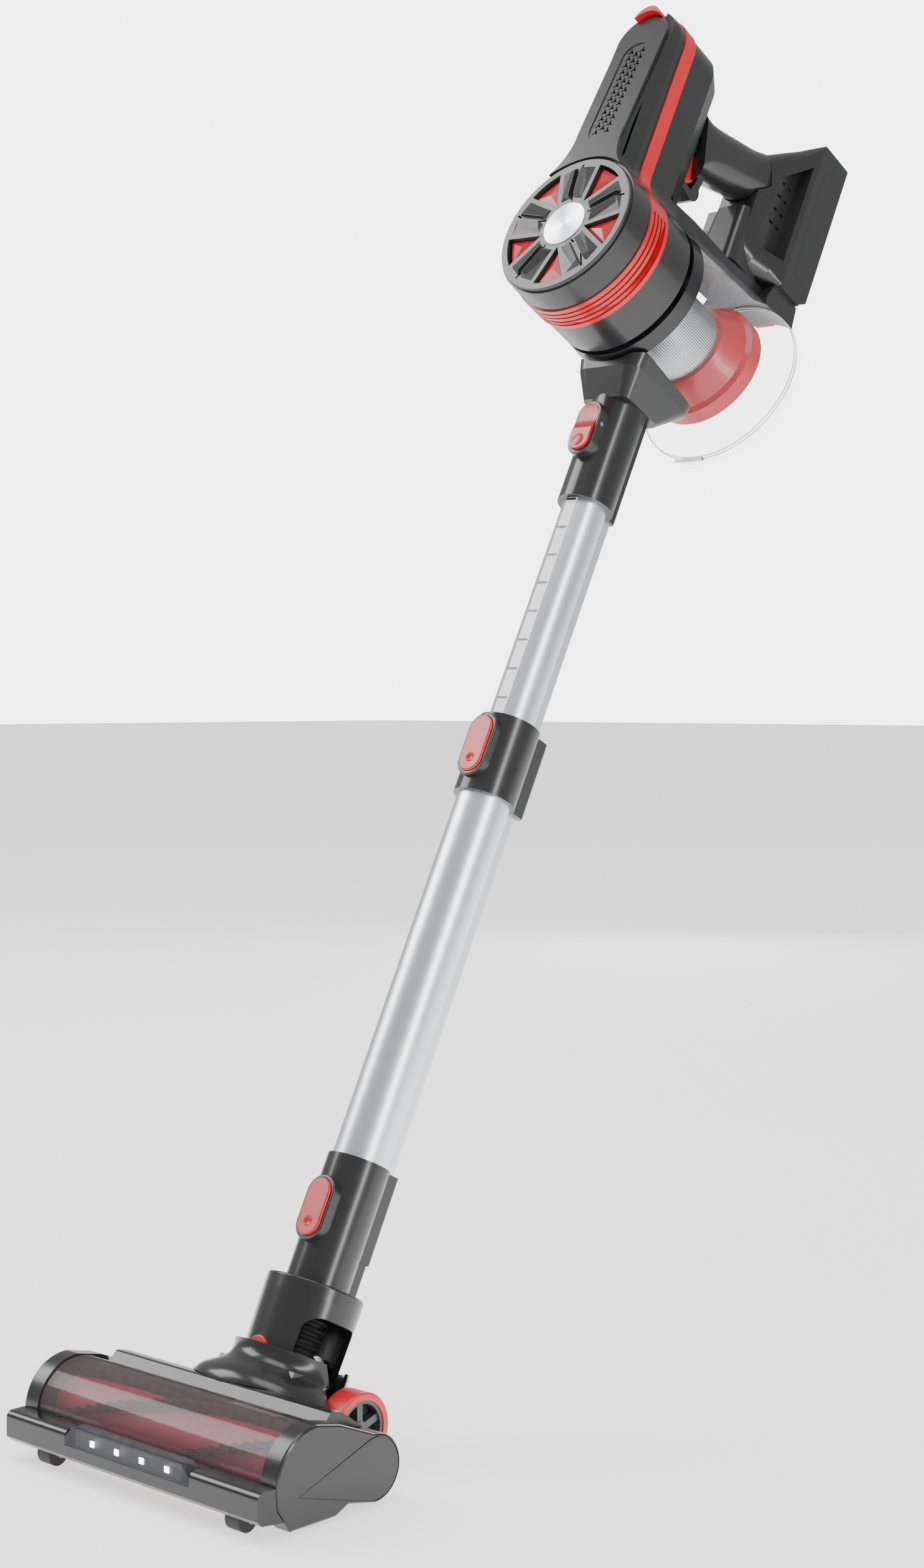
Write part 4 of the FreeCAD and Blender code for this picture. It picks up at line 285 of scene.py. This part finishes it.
# ---------------------------------------------------------------- added details
def add_piece(name, points, faces, body, slot, bevel=0.0):
    """Mesh piece in metres of the row frame; it rides on a body, unless that is None."""
    mesh = bpy.data.meshes.new(name)
    mesh.from_pydata(points, [], faces)
    shape = bmesh.new()
    shape.from_mesh(mesh)
    bmesh.ops.recalc_face_normals(shape, faces=shape.faces)
    shape.to_mesh(mesh)
    shape.free()
    piece = bpy.data.objects.new(name, mesh)
    bpy.context.scene.collection.objects.link(piece)
    paint(piece, MATERIALS[slot])
    if bevel:
        modifier = piece.modifiers.new("edges", "BEVEL")
        modifier.width = bevel
        modifier.segments = 2
    if body:
        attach(piece, body)
    return piece


# faces of a block whose corners run low to high, with the last axis fastest
BLOCK_FACES = [(0, 1, 3, 2), (4, 6, 7, 5), (0, 4, 5, 1), (2, 3, 7, 6), (0, 2, 6, 4), (1, 5, 7, 3)]


def wand_box(name, x, y, z, body, slot):
    """Small block in wand axes; x, y and z are (low, high) pairs in millimetres."""
    points = [wand(x[i], y[j], z[k]) for i in (0, 1) for j in (0, 1) for k in (0, 1)]
    return add_piece(name, points, BLOCK_FACES, body, slot)


def lathe(name, steps, centre, axis, body, slot, count=96):
    """Profile of (radius, along), in millimetres, turned about an axis through centre."""
    across = SIDE if abs(axis.x) < 0.9 else UP
    other = axis.cross(across)
    points, faces = [], []
    for i in range(count):
        angle = 2 * math.pi * i / count
        outward = across * math.cos(angle) + other * math.sin(angle)
        points += [centre + outward * (r / 1000) + axis * (a / 1000) for r, a in steps]
    size = len(steps)
    for i in range(count):
        j = (i + 1) % count
        for k in range(size - 1):
            faces.append((i * size + k, i * size + k + 1, j * size + k + 1, j * size + k))
    piece = add_piece(name, points, faces, body, slot)
    smooth(piece, 40)
    return piece


def ring_steps(radius, along, thick):
    """Round section of a thin ring."""
    turn = [2 * math.pi * i / 8 for i in range(9)]
    return [(radius + thick * math.cos(t), along + thick * math.sin(t)) for t in turn]


def make_scale_ticks():
    """Dark length marks printed across the white scale strip."""
    first, pitch, count = 368.0, 21.6, 8
    for i in range(count):
        low = first + pitch * i
        wand_box(f"scale_tick_{i + 1}", (-4.6, 3.4), (SCALE_FRONT - 0.12, SCALE_FRONT + 0.3),
                 (low, low + 1.6), "hand_unit", "black_gloss")


def drum_spot(radius, degrees, forward):
    """Point on the grille: radius and direction about the drum's axis, height off its face."""
    angle = math.radians(degrees)
    return wand(radius * math.cos(angle), GRILLE_FRONT - forward, DRUM_UP + radius * math.sin(angle))


def make_grille_ridges():
    """Facets that rise from the windows to both sides of each spoke's slot."""
    for i in range(5):
        middle = WINDOW_TURN + 36 + 72 * i
        for hand in (-1, 1):
            points = [
                drum_spot(20.4, middle + hand * 29.0, -0.4), drum_spot(46.6, middle + hand * 19.4, -0.4),
                drum_spot(46.6, middle + hand * 2.6, -0.4), drum_spot(20.4, middle + hand * 5.0, -0.4),
                drum_spot(22.6, middle + hand * 17.0, 1.0), drum_spot(43.4, middle + hand * 9.0, 1.4),
                drum_spot(43.4, middle + hand * 3.0, 3.0), drum_spot(22.6, middle + hand * 5.4, 2.6),
            ]
            faces = [(0, 1, 2, 3), (4, 5, 6, 7), (0, 1, 5, 4), (1, 2, 6, 5), (2, 3, 7, 6), (3, 0, 4, 7)]
            name = f"grille_ridge_{i + 1}_{'left' if hand < 0 else 'right'}"
            add_piece(name, points, faces, "hand_unit", "grille_grey", 0.00025)


def cup_radius(along):
    return CUP_R + (CUP_END_R - CUP_R) * (along - CUP_FRONT) / (CUP_END - CUP_FRONT)


def make_clear_cup():
    """Thin-walled clear cup, with a thin rim line on it and one on its lid."""
    wall, start = 0.8, CUP_FRONT + 22.0
    steps = [(cup_radius(start), start), (cup_radius(CUP_END), CUP_END),
             (cup_radius(CUP_END) - wall, CUP_END), (cup_radius(start) - wall, start),
             (cup_radius(start), start)]
    cup = lathe("clear_cup_shell", steps, wand(0, 0, DRUM_UP), BACK, "hand_unit", "clear_cup", 128)
    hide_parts("dust_cup")
    for name, along, body in (("cup_edge", CUP_END - 1.2, "hand_unit"), ("lid_edge", CUP_END + 1.6, "lid")):
        radius = cup_radius(min(along, CUP_END)) - 0.6
        lathe(name, ring_steps(radius, 0, 0.35), wand(0, along, DRUM_UP), BACK, body, "motor_steel")


def make_latch_dot():
    """Round thumb rest near the lower end of the wand's release."""
    face = LATCH_FRONT
    steps = [(0.05, 1.2), (3.2, 1.1), (4.8, 0.5), (5.4, -0.6)]
    lathe("latch_thumb_rest", [(r, -a) for r, a in steps], wand(0, face, 558.5), BACK,
          "wand_release", "red_gloss", 48)


def make_flexible_hose():
    """Corrugated hose in the yoke, turned about the wand's axis; it rides on no body and stays fixed in
    place.
    """
    top, bottom, ribs, radius = -40.9, -84.5, 8, 14.6
    pitch = (top - bottom) / ribs
    count = ribs * 12
    outer = [(radius - 1.4 + 1.3 * math.cos(2 * math.pi * (i / 12 + 0.5)), bottom + pitch * i / 12)
             for i in range(count + 1)]
    inner = [(r - 1.2, z) for r, z in reversed(outer)]
    hose = lathe("flexible_hose", outer + inner + outer[:1], wand(0, 0, 0), UP, None, "hose_rubber")
    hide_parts("neck_hose")
    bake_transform(hose)


def make_lamps():
    """Four small lamps behind the clear bar of the head."""
    low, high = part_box("lamp_board")
    front = low.y
    middle = (low.z + high.z) / 2
    half, depth, first, pitch = 0.0018, 0.0009, -0.033, 0.022
    for i in range(4):
        x = first + pitch * i
        points = [Vector((x + a * half, front - b * depth, middle + c * half))
                  for a in (-1, 1) for b in (0, 1) for c in (-1, 1)]
        add_piece(f"lamp_{i + 1}", points, BLOCK_FACES, "head", "lamp_white", 0.0003)
    paint(NODES["lamp_board"], MATERIALS["roller_black"])


make_scale_ticks()
make_grille_ridges()
make_clear_cup()
make_latch_dot()
make_flexible_hose()
make_lamps()
paint(NODES["vent_panel"], MATERIALS["grille_grey"])


# ---------------------------------------------------------------- stage
def make_floor():
    bpy.ops.mesh.primitive_plane_add(size=60, location=(0, 0, FLOOR_Z))
    floor = bpy.context.object
    floor.name = "floor"
    material, tree, shader = new_material("floor_pale")
    coords, ramp = tint(tree, (0.9, 0.9, 0.9), 0.01, 2.0)
    tree.links.new(ramp.outputs["Color"], shader.inputs["Base Color"])
    shader.inputs["Roughness"].default_value = 0.9
    shader.inputs["Emission Color"].default_value = (1, 1, 1, 1)
    shader.inputs["Emission Strength"].default_value = 1.1
    paint(floor, material)


def area_light(name, place, target, width, height, power):
    data = bpy.data.lights.new(name, "AREA")
    data.shape = "RECTANGLE"
    data.size = width
    data.size_y = height
    data.energy = power
    light = bpy.data.objects.new(name, data)
    bpy.context.scene.collection.objects.link(light)
    light.location = place
    light.rotation_euler = (Vector(target) - Vector(place)).to_track_quat("-Z", "Y").to_euler()
    return light


def make_lights():
    middle = (0, -0.2, -0.35)
    area_light("key", (-2.4, -1.5, 1.7), middle, 1.8, 2.2, 95)
    area_light("right_strip", (2.2, -0.6, 0.1), middle, 0.35, 2.6, 42)
    area_light("top", (0.2, -0.6, 2.4), middle, 1.8, 1.8, 40)
    area_light("rear", (-1.6, 2.0, 0.4), middle, 0.5, 2.0, 16)
    world = bpy.data.worlds.new("studio")
    bpy.context.scene.world = world
    world.use_nodes = True
    tree = world.node_tree
    background = tree.nodes["Background"]
    background.inputs["Color"].default_value = (1, 1, 1, 1)
    paths = tree.nodes.new("ShaderNodeLightPath")
    strength = tree.nodes.new("ShaderNodeMapRange")
    strength.inputs["To Min"].default_value = 0.5
    strength.inputs["To Max"].default_value = 5.0
    tree.links.new(paths.outputs["Is Camera Ray"], strength.inputs["Value"])
    tree.links.new(strength.outputs["Result"], background.inputs["Strength"])


def make_camera():
    azimuth, elevation = math.radians(CAMERA_AZIMUTH), math.radians(CAMERA_ELEVATION)
    back = Vector((math.sin(azimuth) * math.cos(elevation),
                   -math.cos(azimuth) * math.cos(elevation), math.sin(elevation)))
    data = bpy.data.cameras.new("camera")
    data.sensor_fit = "VERTICAL"
    data.sensor_height = 36.0
    data.lens = CAMERA_LENS
    camera = bpy.data.objects.new("camera", data)
    bpy.context.scene.collection.objects.link(camera)
    camera.location = CAMERA_PLACE
    camera.rotation_euler = back.to_track_quat("Z", "Y").to_euler()
    bpy.context.scene.camera = camera


make_floor()
make_lights()
make_camera()
